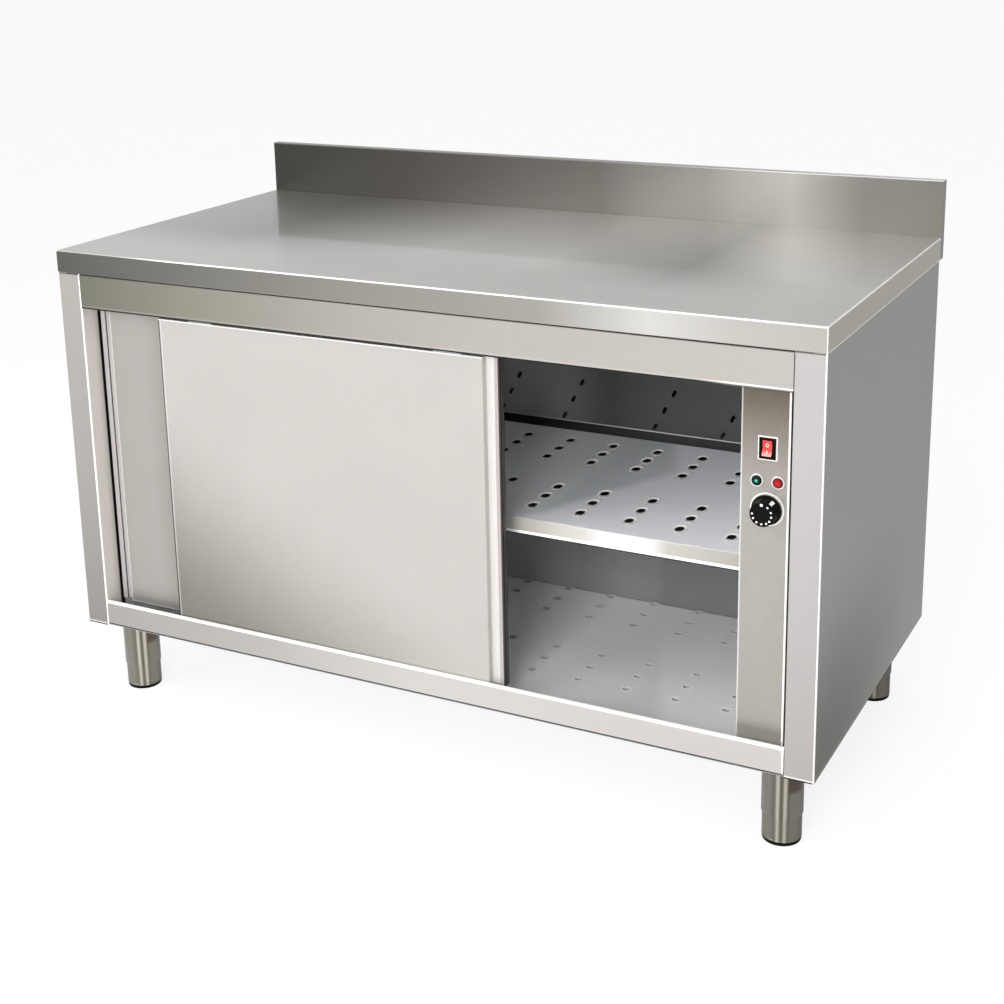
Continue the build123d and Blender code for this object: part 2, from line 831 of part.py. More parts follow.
with BuildPart() as track_stops:
    reach = roller_radius + stop_clearance
    front_rollers, rear_rollers = hanger_xs(front_door_left), hanger_xs(rear_door_left)
    front_y = (track_front + sheet + bend, track_front + sheet + bend + stop_depth)
    rear_y = (track_back - sheet - bend - stop_depth, track_back - sheet - bend)
    stop_places = (
        (front_rollers[0] - front_travel_left - reach - stop_length, front_y),
        (front_rollers[1] + door_open + reach, front_y),
        (rear_rollers[0] - reach - stop_length, rear_y),
        (rear_rollers[1] + rear_travel + reach, rear_y),
    )
    for x, y in stop_places:
        slab((x, x + stop_length), y, (ledge_z, ledge_z + stop_height))
save(track_stops, "track_stops")

with BuildPart() as door_guide:
    guide_middle = rear_door_right - guide_offset
    guide_x = (guide_middle - guide_length / 2, guide_middle + guide_length / 2)
    front_door_back = front_door_y + door_thickness
    rear_door_back = rear_door_y + door_thickness
    fin_y = (front_door_back + fit_gap, rear_door_y - fit_gap)
    back_fin_y = (rear_door_back + fit_gap, rear_door_back + fit_gap + guide_back_fin)
    slab(guide_x, (fin_y[0], back_fin_y[1]), (floor_z, floor_z + guide_base))
    slab(guide_x, fin_y, (floor_z, floor_z + guide_fin))
    slab(guide_x, back_fin_y, (floor_z, floor_z + guide_fin))
save(door_guide, "door_guide")

# ---------------------------------------------------------------- control panel
panel_back = panel_y + sheet
with BuildPart() as control_panel:
    with BuildSketch(Plane.XY.offset(base_top)):
        fold(
            [
                (partition_x, panel_y + middle_of),
                (panel_right - middle_of, panel_y + middle_of),
                (panel_right - middle_of, panel_y + panel_return + middle_of),
                (jamb - fit_gap, panel_y + panel_return + middle_of),
            ],
            sheet,
        )
    extrude(amount=case_top - 2 * sheet - base_top)
    cutout_half_width = switch_body_width / 2 + bush_clearance
    cutout_half_height = switch_body_height / 2 + bush_clearance
    slab(
        (switch_x - cutout_half_width, switch_x + cutout_half_width),
        (panel_y - sheet, panel_back + sheet),
        (switch_z - cutout_half_height, switch_z + cutout_half_height),
        mode=Mode.SUBTRACT,
    )
    holes = [
        (knob_x - lamp_spacing / 2, lamp_z, lamp_stem_radius),
        (knob_x + lamp_spacing / 2, lamp_z, lamp_stem_radius),
        (knob_x, knob_z, thermostat_bush_radius),
    ]
    for x, z, radius in holes:
        rod((x, panel_y - sheet, z), (x, panel_back + sheet, z), radius + bush_clearance, mode=Mode.SUBTRACT)
save(control_panel, "control_panel")

with BuildPart() as switch_housing:
    slab(
        (switch_x - switch_width / 2, switch_x + switch_width / 2),
        (panel_y - switch_frame, panel_y),
        (switch_z - switch_height / 2, switch_z + switch_height / 2),
    )
    fillet(switch_housing.faces().sort_by(Axis.Y)[0].edges(), edge_round / 2)
    slab(
        (switch_x - switch_body_width / 2, switch_x + switch_body_width / 2),
        (panel_y, panel_y + switch_body_depth),
        (switch_z - switch_body_height / 2, switch_z + switch_body_height / 2),
    )
    slab(
        (switch_x - rocker_width / 2 - rocker_cavity_gap, switch_x + rocker_width / 2 + rocker_cavity_gap),
        (panel_y - switch_frame, panel_y + rocker_cavity_depth),
        (switch_z - rocker_height / 2 - rocker_cavity_gap, switch_z + rocker_height / 2 + rocker_cavity_gap),
        mode=Mode.SUBTRACT,
    )
    rod(
        (switch_x - switch_body_width / 2, panel_y + rocker_depth / 2, switch_z),
        (switch_x + switch_body_width / 2, panel_y + rocker_depth / 2, switch_z),
        rocker_pin_radius + shaft_clearance,
        mode=Mode.SUBTRACT,
    )
save(switch_housing, "switch_housing")

pivot_y = panel_y + rocker_depth / 2
rocker_plane = Plane(origin=(switch_x, pivot_y, switch_z), x_dir=(0, 1, 0), z_dir=(1, 0, 0))
with BuildPart() as rocker:
    with BuildSketch(rocker_plane.rotated((-rocker_tilt, 0, 0))):
        with BuildLine():
            Polyline(
                (-rocker_depth / 2 - switch_frame - rocker_rise, rocker_height / 2),
                (-rocker_depth / 2 - switch_frame / 2, 0),
                (-rocker_depth / 2 - switch_frame - rocker_rise, -rocker_height / 2),
                (rocker_depth / 2, -rocker_height / 3),
                (rocker_depth / 2, rocker_height / 3),
                close=True,
            )
        make_face()
    extrude(amount=rocker_width / 2, both=True)
    rod(
        (switch_x - switch_body_width / 2, pivot_y, switch_z),
        (switch_x + switch_body_width / 2, pivot_y, switch_z),
        rocker_pin_radius,
    )
save(rocker, "rocker")

lamp_xs = (knob_x - lamp_spacing / 2, knob_x + lamp_spacing / 2)
with BuildPart() as lamp_bezels:
    for x in lamp_xs:
        rod((x, panel_y - lamp_bezel, lamp_z), (x, panel_y, lamp_z), lamp_bezel_radius)
        rod((x, panel_y, lamp_z), (x, panel_y + lamp_stem, lamp_z), lamp_stem_radius)
    fillet(lamp_bezels.faces().group_by(Axis.Y)[0].edges(), edge_round / 2)
    for x in lamp_xs:
        rod(
            (x, panel_y - lamp_bezel, lamp_z),
            (x, panel_y + lamp_stem / 2, lamp_z),
            lens_radius + lens_clearance,
            mode=Mode.SUBTRACT,
        )
save(lamp_bezels, "lamp_bezels")

for name, x in zip(("green_lens", "red_lens"), lamp_xs):
    with BuildPart() as lens:
        rod(
            (x, panel_y - lamp_bezel - lens_dome, lamp_z),
            (x, panel_y + lamp_stem / 2, lamp_z),
            lens_radius,
        )
        fillet(lens.faces().sort_by(Axis.Y)[0].edges(), lens_dome)
    save(lens, name)

with BuildPart() as thermostat_body:
    slab(
        (knob_x - thermostat_width / 2, knob_x + thermostat_width / 2),
        (panel_back, panel_back + thermostat_depth),
        (knob_z - thermostat_height / 2, knob_z + thermostat_height / 2),
    )
    rod((knob_x, panel_y, knob_z), (knob_x, panel_back, knob_z), thermostat_bush_radius)
    rod(
        (knob_x, panel_y, knob_z),
        (knob_x, panel_back + thermostat_depth / 2, knob_z),
        shaft_radius + shaft_clearance,
        mode=Mode.SUBTRACT,
    )
save(thermostat_body, "thermostat_body")

with BuildPart() as thermostat_knob:
    skirt_y = panel_y - knob_panel_gap
    with BuildSketch(Plane.XZ.offset(-skirt_y)):
        with Locations((knob_x, knob_z)):
            Circle(dial_radius)
    extrude(amount=dial_skirt, taper=20)
    with BuildSketch(Plane.XZ.offset(-skirt_y + dial_skirt)):
        with Locations((knob_x, knob_z)):
            Circle(knob_radius)
    extrude(amount=knob_height - dial_skirt, taper=4)
    slab(
        (knob_x - grip_width / 2, knob_x + grip_width / 2),
        (skirt_y - knob_height - grip_height, skirt_y - knob_height / 2),
        (knob_z - knob_radius, knob_z + knob_radius),
    )
    rod(
        (knob_x, skirt_y, knob_z),
        (knob_x, panel_back + thermostat_depth / 2 - sheet, knob_z),
        shaft_radius,
    )
save(thermostat_knob, "thermostat_knob")

with BuildPart() as sensing_bulb:
    bulb_x = partition_x - bulb_radius
    capillary_x = knob_x + thermostat_width / 3
    capillary = [
        (capillary_x, panel_back + thermostat_depth, knob_z),
        (capillary_x, bulb_y, knob_z),
        (capillary_x, bulb_y, bulb_z),
        (bulb_x, bulb_y, bulb_z),
    ]
    pipe(capillary, wire_bend / 3, capillary_radius)
    rod((bulb_x, bulb_y - bulb_length / 2, bulb_z), (bulb_x, bulb_y + bulb_length / 2, bulb_z), bulb_radius)
save(sensing_bulb, "sensing_bulb")

# ---------------------------------------------------------------- heater and fan
bulkhead_x = partition_x - fan_bulkhead_margin
element_x = (liner_left + element_left_margin, bulkhead_x - element_right_margin)
heater_middle_y = (heater_y + thin_sheet + liner_back) / 2
element_ys = (heater_middle_y - element_spread / 2, heater_middle_y + element_spread / 2)
element_z = base_top + element_rise
with BuildPart() as heating_elements:
    for y in element_ys:
        hairpin = [
            (element_x[1], y, element_z),
            (element_x[0], y, element_z),
            (element_x[0], y, element_z + element_pitch),
            (element_x[1], y, element_z + element_pitch),
        ]
        pipe(hairpin, element_pitch / 2.1, element_radius)
save(heating_elements, "heating_elements")

hole_radius = element_radius + element_hole_gap
with BuildPart() as element_brackets:
    for x in (element_x[0] + bracket_margin, element_x[1] - bracket_margin):
        slab(
            (x - sheet / 2, x + sheet / 2),
            (heater_middle_y - bracket_depth / 2, heater_middle_y + bracket_depth / 2),
            (base_top, base_top + bracket_height),
        )
        for y in element_ys:
            for z in (element_z, element_z + element_pitch):
                rod((x - sheet, y, z), (x + sheet, y, z), hole_radius, mode=Mode.SUBTRACT)
save(element_brackets, "element_brackets")

fan_z = base_top + (heater_top - thin_sheet - base_top) / 2
with BuildPart() as fan_bulkhead:
    slab(
        (bulkhead_x, bulkhead_x + sheet),
        (heater_y + thin_sheet, liner_back),
        (base_top, heater_top - thin_sheet - bend),
    )
    rod(
        (bulkhead_x - sheet, heater_middle_y, fan_z),
        (bulkhead_x + 2 * sheet, heater_middle_y, fan_z),
        fan_bore,
        mode=Mode.SUBTRACT,
    )
save(fan_bulkhead, "fan_bulkhead")

fan_x = bulkhead_x + sheet
with BuildPart() as fan_frame:
    slab(
        (fan_x, fan_x + fan_depth),
        (heater_middle_y - fan_size / 2, heater_middle_y + fan_size / 2),
        (fan_z - fan_size / 2, fan_z + fan_size / 2),
    )
    fillet(fan_frame.edges().filter_by(Axis.X), edge_round * 3)
    rod(
        (fan_x, heater_middle_y, fan_z),
        (fan_x + fan_depth, heater_middle_y, fan_z),
        fan_bore,
        mode=Mode.SUBTRACT,
    )
    arm_x = (fan_x + fan_depth - fan_arm_depth, fan_x + fan_depth)
    half_arm = fan_arm / 2
    slab(
        arm_x,
        (heater_middle_y - fan_bore - sheet, heater_middle_y + fan_bore + sheet),
        (fan_z - half_arm, fan_z + half_arm),
    )
    slab(
        arm_x,
        (heater_middle_y - half_arm, heater_middle_y + half_arm),
        (fan_z - fan_bore - sheet, fan_z + fan_bore + sheet),
    )
    rod(
        (fan_x + fan_depth - fan_motor_depth, heater_middle_y, fan_z),
        (fan_x + fan_depth, heater_middle_y, fan_z),
        fan_hub_radius,
    )
    rod(
        (fan_x + fan_motor_depth, heater_middle_y, fan_z),
        (fan_x + fan_depth - fan_motor_depth, heater_middle_y, fan_z),
        fan_pin_radius,
    )
save(fan_frame, "fan_frame")

with BuildPart() as fan_rotor:
    rotor_x = (fan_x + sheet, fan_x + fan_depth - fan_motor_depth - sheet)
    rod((rotor_x[0], heater_middle_y, fan_z), (rotor_x[1], heater_middle_y, fan_z), fan_hub_radius)
    blade_plane = Plane(origin=(rotor_x[0], heater_middle_y, fan_z), x_dir=(0, 1, 0), z_dir=(1, 0, 0))
    with Locations(blade_plane):
        with PolarLocations(0, fan_blades):
            with Locations(Location((0, 0, (rotor_x[1] - rotor_x[0]) / 2), (35, 0, 0))):
                Box(
                    fan_bore - fan_tip_gap,
                    fan_blade_sheet,
                    (rotor_x[1] - rotor_x[0]) * 0.85,
                    align=(Align.MIN, Align.CENTER, Align.CENTER),
                )
    rod(
        (rotor_x[0], heater_middle_y, fan_z),
        (rotor_x[1], heater_middle_y, fan_z),
        fan_pin_radius + shaft_clearance,
        mode=Mode.SUBTRACT,
    )
save(fan_rotor, "fan_rotor")

# ---------------------------------------------------------------- wiring
terminal_front = terminal_y - terminal_depth
wire_z = base_top + terminal_height / 2
with BuildPart() as terminal_block:
    slab(
        (switch_x - terminal_width / 2, switch_x + terminal_width / 2),
        (terminal_front, terminal_y),
        (base_top, base_top + terminal_height),
    )
    fillet(terminal_block.edges().filter_by(Axis.Z), edge_round)
save(terminal_block, "terminal_block")

with BuildPart() as wiring_loom:
    switch_back = panel_y + switch_body_depth
    main_run = [
        (switch_x, terminal_front, wire_z),
        (switch_x, loom_y, wire_z),
        (switch_x, loom_y, switch_z),
        (switch_x, switch_back, switch_z),
    ]
    pipe(main_run, wire_bend, wire_radius)
    for x in lamp_xs:
        rod((switch_x, loom_y, lamp_z), (x, panel_y + lamp_stem + fit_gap, lamp_z), wire_radius / 2)
    rod((switch_x, loom_y, knob_z), (switch_x, panel_back + thermostat_depth, knob_z), wire_radius / 2)
    rod(
        (switch_x - terminal_width / 2, heater_wire_y, heater_wire_z),
        (element_x[1] + bracket_margin, heater_wire_y, heater_wire_z),
        wire_radius,
    )
save(wiring_loom, "wiring_loom")

with BuildPart() as cable_gland:
    gland_z = leg_height + gland_rise
    gland_plane = Plane.XZ.offset(-case_back - sheet)
    with BuildSketch(gland_plane):
        with Locations((compartment_middle, gland_z)):
            RegularPolygon(gland_radius, 6)
    extrude(amount=-gland_nut)
    rod(
        (compartment_middle, case_back - gland_nut, gland_z),
        (compartment_middle, case_back + sheet + gland_nose, gland_z),
        gland_radius - gland_nut / 2 - bush_clearance,
    )
    with BuildSketch(Plane.XZ.offset(-case_back)):
        with Locations((compartment_middle, gland_z)):
            RegularPolygon(gland_radius, 6)
    extrude(amount=gland_nut)
    rod(
        (compartment_middle, case_back - gland_nut, gland_z),
        (compartment_middle, case_back + sheet + gland_nose, gland_z),
        gland_bore,
        mode=Mode.SUBTRACT,
    )
save(cable_gland, "cable_gland")

with BuildPart() as panel_screws:
    screw_y = case_back + sheet
    screw_z = (leg_height + 2 * screw_margin, case_top - 2 * screw_margin)
    heights = [screw_z[0] + (screw_z[1] - screw_z[0]) * row / (screw_rows - 1) for row in range(screw_rows)]
    half_span = side - screw_margin - screw_radius
    columns = [-half_span + 2 * half_span * c / (screw_columns - 1) for c in range(1, screw_columns - 1)]
    places = [(x, z) for x in (-half_span, half_span) for z in heights]
    places += [(x, z) for x in columns for z in screw_z]
    for x, z in places:
        rod((x, screw_y, z), (x, screw_y + screw_head, z), screw_radius)
    fillet(panel_screws.faces().group_by(Axis.Y)[-1].edges(), screw_head * 0.8)
save(panel_screws, "panel_screws")

# ---------------------------------------------------------------- legs and feet
with BuildPart() as leg_tubes:
    for place in leg_places:
        rod((*place, leg_tube_bottom), (*place, leg_height), leg_radius)
        rod(
            (*place, leg_tube_bottom),
            (*place, leg_height - leg_disc),
            leg_radius - leg_wall,
            mode=Mode.SUBTRACT,
        )
        rod(
            (*place, leg_bush_bottom),
            (*place, leg_bush_bottom + leg_bush_thickness),
            leg_radius - leg_wall / 2,
        )
        rod(
            (*place, leg_bush_bottom),
            (*place, leg_bush_bottom + leg_bush_thickness),
            spindle_radius + spindle_clearance,
            mode=Mode.SUBTRACT,
        )
        rod((*place, leg_height), (*place, leg_height + stud_length), stud_radius)
save(leg_tubes, "leg_tubes")

with BuildPart() as leg_nuts:
    for place in leg_places:
        with BuildSketch(Plane.XY.offset(base_top)):
            with Locations(place):
                RegularPolygon(nut_radius, 6)
                Circle(stud_radius + axle_clearance, mode=Mode.SUBTRACT)
        extrude(amount=nut_height)
save(leg_nuts, "leg_nuts")

foot_radius = leg_radius - leg_wall - foot_clearance
for name, place in zip(leg_names, leg_places):
    with BuildPart() as foot:
        rod((*place, foot_pad / 2), (*place, leg_bush_bottom - foot_stop_gap), foot_radius)
        rod((*place, foot_pad), (*place, leg_bush_bottom), foot_radius - foot_wall, mode=Mode.SUBTRACT)
        rod((*place, foot_pad), (*place, leg_height - leg_disc - spindle_top_gap), spindle_radius)
        rod((*place, 0), (*place, foot_pad / 2), foot_radius - foot_pad_set_in)
        fillet(foot.edges().sort_by(Axis.Z)[0], foot_pad_set_in)
    save(foot, name)
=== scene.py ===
import json
import math

import bmesh
import bpy
import numpy as np
from mathutils import Matrix, Vector


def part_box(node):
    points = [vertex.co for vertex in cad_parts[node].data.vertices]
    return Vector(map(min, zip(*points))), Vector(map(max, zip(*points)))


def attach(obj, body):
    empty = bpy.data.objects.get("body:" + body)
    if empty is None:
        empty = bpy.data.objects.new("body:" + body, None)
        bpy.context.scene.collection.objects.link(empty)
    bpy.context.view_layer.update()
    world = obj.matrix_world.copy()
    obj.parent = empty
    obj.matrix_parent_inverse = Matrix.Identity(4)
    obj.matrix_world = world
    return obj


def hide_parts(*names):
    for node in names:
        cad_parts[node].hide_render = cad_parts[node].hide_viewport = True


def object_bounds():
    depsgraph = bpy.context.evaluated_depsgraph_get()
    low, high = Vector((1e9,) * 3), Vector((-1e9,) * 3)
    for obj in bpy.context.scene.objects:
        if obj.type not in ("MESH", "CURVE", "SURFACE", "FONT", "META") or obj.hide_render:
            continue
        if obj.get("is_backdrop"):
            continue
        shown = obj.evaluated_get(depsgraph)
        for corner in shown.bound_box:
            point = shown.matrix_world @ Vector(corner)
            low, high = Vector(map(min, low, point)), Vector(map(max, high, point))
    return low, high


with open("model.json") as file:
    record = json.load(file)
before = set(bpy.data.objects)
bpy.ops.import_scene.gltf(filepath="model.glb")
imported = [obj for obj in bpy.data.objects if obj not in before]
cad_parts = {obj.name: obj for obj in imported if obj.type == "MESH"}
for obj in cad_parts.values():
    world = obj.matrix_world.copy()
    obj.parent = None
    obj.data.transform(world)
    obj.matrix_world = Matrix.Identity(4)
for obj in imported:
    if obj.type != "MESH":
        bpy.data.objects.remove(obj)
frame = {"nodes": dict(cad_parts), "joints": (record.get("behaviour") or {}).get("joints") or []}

bl_info = {
    "name": "Plate warmer cabinet",
    "version": (1, 0, 0),
    "blender": (4, 5, 0),
    "location": "3D View > Sidebar > Cabinet",
    "description": "Dresses a heated plate cabinet with sliding doors and sets up its stage",
    "category": "Object",
}

CAD_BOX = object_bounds()
FEET = ("front_left_foot", "rear_left_foot", "front_right_foot", "rear_right_foot")
DOORS = ("front_door", "rear_door")

# The axis of each face of a box and the end of the box that it is, 0 for low and 1 for high
FACES = {"left": ("x", 0), "right": ("x", 1), "front": ("y", 0), "bottom": ("z", 0), "top": ("z", 1)}

RING_STEPS = 96  # facets round a leg, a foot or the knob
DOT_STEPS = 16  # facets round a dot on the knob
RING_MARK_STEPS = 24  # facets along the ring on the rocker
MARK_STEPS = 6  # facets round the strokes of the rocker's marks
BAR_ROWS = 8  # rows along the bar on the rocker
LEG_FRONT = 0.31  # place of a leg's painted reflections, as a share of a turn, that faces the camera
LEG_PLUG = 0.003  # thickness of the plate that closes a leg tube at its top
LEG_PLUG_HOLE = 0.0055  # radius of the hole in that plate
SPINDLE_GAP = 0.0002  # play of a spindle in its bush
SOLE_TOP = 0.008  # where a foot's sleeve is closed round its spindle, above the ground
SLEEVE_WALL = 0.0015  # wall of a foot's sleeve
KNOB_SEAT = 0.0015  # gap between the control panel's face and the knob
SHAFT_RADIUS = 0.003  # radius of the knob's shaft
DOT_TURNS = (180, 208, 239, 270, 299, 323, 352, 20, 54, 93)  # places of the dots in degrees
LAST_DOT = 1.5  # size of the last dot beside the others
ROCKER_TILT = -8.0  # turn of the rocker at rest, in degrees
ROCKER_TIP, ROCKER_VALLEY, ROCKER_BACK = -0.0083, -0.0052, 0.003  # depths of its section about its pivot
RIM_POINTS = 12  # corners round a slot's rim
SLOT_COLUMNS = 14
GROUP_ROWS = 3  # rows in each of the two groups of slots
LIGHT_SIDE = (-0.42, -0.9, 0.0)  # towards the lighter side of the room
FLOOR_REACH = 30.0
SENSOR_WIDTH = 36.0  # millimetres
CLIP_END = 100.0
GLOW_SEEN, GLOW_MIRRORED = 0.72, 0.85  # shares of the floor's own light, seen directly and in polished steel


def paint(*levels):
    """Linear colour of a display colour written from 0 to 255, or of a single grey level."""
    levels = levels * 3 if len(levels) == 1 else levels
    return tuple(
        ((level / 255 + 0.055) / 1.055) ** 2.4 if level > 10 else level / 3294.6 for level in levels
    )


def middle(node):
    """Middle of a CAD node's box and half its size."""
    low, high = (np.array(corner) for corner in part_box(node))
    return (low + high) / 2, (high - low) / 2


# ---- shader trees
class Value:
    """An output socket of a shader tree. Arithmetic on it adds Math nodes and gives their output."""

    def __init__(self, nodes, socket):
        self.nodes, self.socket = nodes, socket

    def maths(self, operation, *sockets):
        return self.nodes.add("ShaderNodeMath", {"operation": operation}, dict(enumerate(sockets)))

    def __add__(self, other):
        return self.maths("ADD", self, other)

    def __sub__(self, other):
        return self.maths("SUBTRACT", self, other)

    def __rsub__(self, other):
        return self.maths("SUBTRACT", other, self)

    def __mul__(self, other):
        return self.maths("MULTIPLY", self, other)

    def __truediv__(self, other):
        return self.maths("DIVIDE", self, other)

    def __pow__(self, other):
        return self.maths("POWER", self, other)

    def __abs__(self):
        return self.maths("ABSOLUTE", self)

    __radd__ = __add__
    __rmul__ = __mul__

    def other(self, name):
        """Another output of the same node."""
        return Value(self.nodes, self.socket.node.outputs[name])


class Nodes:
    """The shader nodes of a material or of the world."""

    def __init__(self, tree):
        self.tree = tree

    def add(self, kind, settings=None, sockets=None, output=0):
        """Adds a node: first its settings, a ramp's stops among them, then its sockets' values or links."""
        node = self.tree.nodes.new(kind)
        for name, setting in (settings or {}).items():
            if name == "stops":
                elements = node.color_ramp.elements
                for position, _ in setting[2:]:
                    elements.new(position)
                for element, (position, colour) in zip(elements, setting):
                    element.position, element.color = position, (*colour, 1)
            else:
                setattr(node, name, setting)
        for key, value in (sockets or {}).items():
            self.feed(node.inputs[key], value)
        return Value(self, node.outputs[output])

    def feed(self, socket, value):
        """Links a value to a socket, or sets the socket to a constant."""
        if isinstance(value, Value):
            self.tree.links.new(value.socket, socket)
        elif socket.type == "RGBA" and len(value) == 3:
            socket.default_value = (*value, 1)
        else:
            socket.default_value = value


def step(value, low, high):
    """A smooth step that is 0 up to low and 1 from high on; low may be the larger."""
    sockets = {"Value": value, "From Min": low, "From Max": high}
    if low > high:
        sockets = {"Value": value, "From Min": high, "From Max": low, "To Min": 1.0, "To Max": 0.0}
    return value.nodes.add("ShaderNodeMapRange", {"interpolation_type": "SMOOTHSTEP"}, sockets)


def line(value, low, high, soft):
    """A soft band that is 1 between low and high."""
    return step(value, low - soft, low) * step(value, high + soft, high)


def most(first, *others):
    """The largest of several values."""
    for other in others:
        first = first.maths("MAXIMUM", first, other)
    return first


def mix(factor, first, second):
    """A colour between two colours. At least one of the three comes from the shader tree."""
    nodes = next(item.nodes for item in (factor, first, second) if isinstance(item, Value))
    return nodes.add("ShaderNodeMix", {"data_type": "RGBA"}, {0: factor, 6: first, 7: second}, 2)


def tint(colour, level):
    """A colour made lighter or darker by a level."""
    return level.nodes.add("ShaderNodeVectorMath", {"operation": "SCALE"}, {0: colour, "Scale": level})


class Finish(Nodes):
    """A procedural material: constants on its shader's sockets, and nodes that vary the rest.
    One that is named after a CAD node knows that node's box."""

    def __init__(self, name, **constants):
        self.material = bpy.data.materials.new(f"{name}_finish")
        if name in frame["nodes"]:
            self.low, self.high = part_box(name)
        self.material.use_nodes = True
        super().__init__(self.material.node_tree)
        self.shader = self.tree.nodes["Principled BSDF"]
        for socket, value in constants.items():
            self.feed(self.shader.inputs[socket.replace("_", " ")], value)
        self.point = self.add("ShaderNodeTexCoord", output="Object")
        self.x = self.add("ShaderNodeSeparateXYZ", None, {0: self.point})
        self.y, self.z = self.x.other("Y"), self.x.other("Z")

    def behind(self, face):
        """Depth in millimetres behind a face of the box. The face "ends" is left and right together."""
        if face == "ends":
            return (max(-self.low.x, self.high.x) - abs(self.x)) * 1000
        axis, end = FACES[face]
        place = getattr((self.low, self.high)[end], axis)
        return (getattr(self, axis) - place) * (-1000 if end else 1000)

    def away(self, centre):
        """Distance from the line through a centre that runs straight back."""
        return ((self.x - centre[0]) ** 2 + (self.z - centre[2]) ** 2) ** 0.5

    def outside(self, node):
        """Distance outside a CAD node's box as seen from the front, negative inside it."""
        centre, half = middle(node)
        return most(abs(self.x - centre[0]) - half[0], abs(self.z - centre[2]) - half[2])

    def noise(self, scale, detail=2.0, roughness=0.5, start=(0, 0, 0)):
        """Noise between 0 and 1, with one scale or a scale along each axis."""
        scale = scale if isinstance(scale, tuple) else (scale,) * 3
        place = self.add("ShaderNodeMapping", None, {0: self.point, "Location": start, "Scale": scale})
        sockets = {"Vector": place, "Scale": 1.0, "Detail": detail, "Roughness": roughness}
        return self.add("ShaderNodeTexNoise", None, sockets)

    def cells(self, scale):
        """Distance to the nearest of many scattered points."""
        return self.add("ShaderNodeTexVoronoi", None, {"Vector": self.point, "Scale": scale})

    def ramp(self, value, *stops):
        """Colours along a value. Each stop gives the value and a display colour, or a grey, from 0 to 255."""
        first, last = stops[0][0], stops[-1][0]
        colours = [((at - first) / (last - first), paint(*colour)) for at, *colour in stops]
        return self.add("ShaderNodeValToRGB", {"stops": colours}, {"Fac": (value - first) / (last - first)})

    def colour(self, value):
        self.feed(self.shader.inputs["Base Color"], value)

    def metal(self, value):
        self.feed(self.shader.inputs["Metallic"], value)

    def roughness(self, value):
        self.feed(self.shader.inputs["Roughness"], value)

    def paint_fold_highlights(self, steel, metal, fold_highlights, bright):
        """Steel with painted highlights along each fold: near-white lines without metal, which catch light
        from all sides as matt white does.
        """
        self.colour(mix(fold_highlights, steel, bright))
        self.metal(metal * (1 - fold_highlights))

    def bump(self, height, distance):
        """Raises the surface by the height times a distance in metres."""
        raised = self.add("ShaderNodeBump", None, {"Height": height, "Distance": distance}, "Normal")
        self.feed(self.shader.inputs["Normal"], raised)


def brushed(name, along, roughness, streak, cloud, **constants):
    """Rolled steel: fine lines and broad smears along one axis and slow clouding, in its gloss too.
    Gives the finish and the level by which its colour varies."""
    finish = Finish(name, **constants)
    lines = finish.noise(tuple(9 if axis == along else 900 for axis in "XYZ"), 3.0)
    smears = finish.noise(tuple(1.6 if axis == along else 34 for axis in "XYZ"), 3.0, 0.55)
    clouds = finish.noise(3.1, 3.0, 0.5, (4.3, 1.7, 2.9))
    finish.roughness(roughness + (lines - 0.5) * 0.1 + (clouds - 0.5) * 0.06)
    finish.bump(lines, 0.00004)
    level = 1 + (lines - 0.5) * streak + (smears - 0.5) * (1.2 * streak) + (clouds - 0.5) * cloud
    return finish, level


def plain_steel(name, colour, along, roughness, streak, cloud, metal):
    """Brushed steel of one colour."""
    finish, level = brushed(name, along, roughness, streak, cloud, Metallic=metal)
    finish.colour(tint(colour, level))
    return finish


def moulded(name, colour, roughness, coat=0.0, grain=0.00003):
    """Moulded plastic or rubber: a fine leathery texture and faint clouding."""
    finish = Finish(name, Coat_Weight=coat, Coat_Roughness=0.12, Specular_IOR_Level=0.12)
    pores = finish.noise(1400)
    clouds = finish.noise(40, 3.0)
    finish.colour(tint(colour, 1 + (clouds - 0.5) * 0.3 + (pores - 0.5) * 0.15))
    finish.roughness(roughness + (clouds - 0.5) * 0.16)
    finish.bump(pores, grain)
    return finish


def dress(finish, *nodes):
    """Gives CAD nodes a finish, in the slots that their objects have."""
    for name in nodes:
        for slot in frame["nodes"][name].material_slots:
            slot.material = finish.material


# ---- surfaces
def quads(rows, columns, closed_rows, closed_columns):
    """Corner numbers of a grid's faces, a whole array at once, wrapped where the surface closes on itself."""
    row = np.arange(rows if closed_rows else rows - 1)[:, None]
    column = np.arange(columns if closed_columns else columns - 1)[None, :]
    next_row, next_column = (row + 1) % rows, (column + 1) % columns
    corners = ((row, column), (row, next_column), (next_row, next_column), (next_row, column))
    return np.stack([down * columns + along for down, along in corners], -1).reshape(-1, 4)


def turned(profile, centre, axis, steps):
    """A profile of (radius, height) turned about an axis: each point is the centre plus the height along the
    axis plus the radius times (cos a * side + sin a * up)."""
    axis = np.asarray(axis, float)
    side = np.array((1.0, 0, 0))
    up = np.cross(axis, side)
    angle = np.linspace(0, 2 * np.pi, steps, endpoint=False)
    ring = np.cos(angle)[:, None] * side + np.sin(angle)[:, None] * up
    radius, height = np.asarray(profile, float).T
    points = np.asarray(centre) + height[:, None, None] * axis + radius[:, None, None] * ring
    return points.reshape(-1, 3)


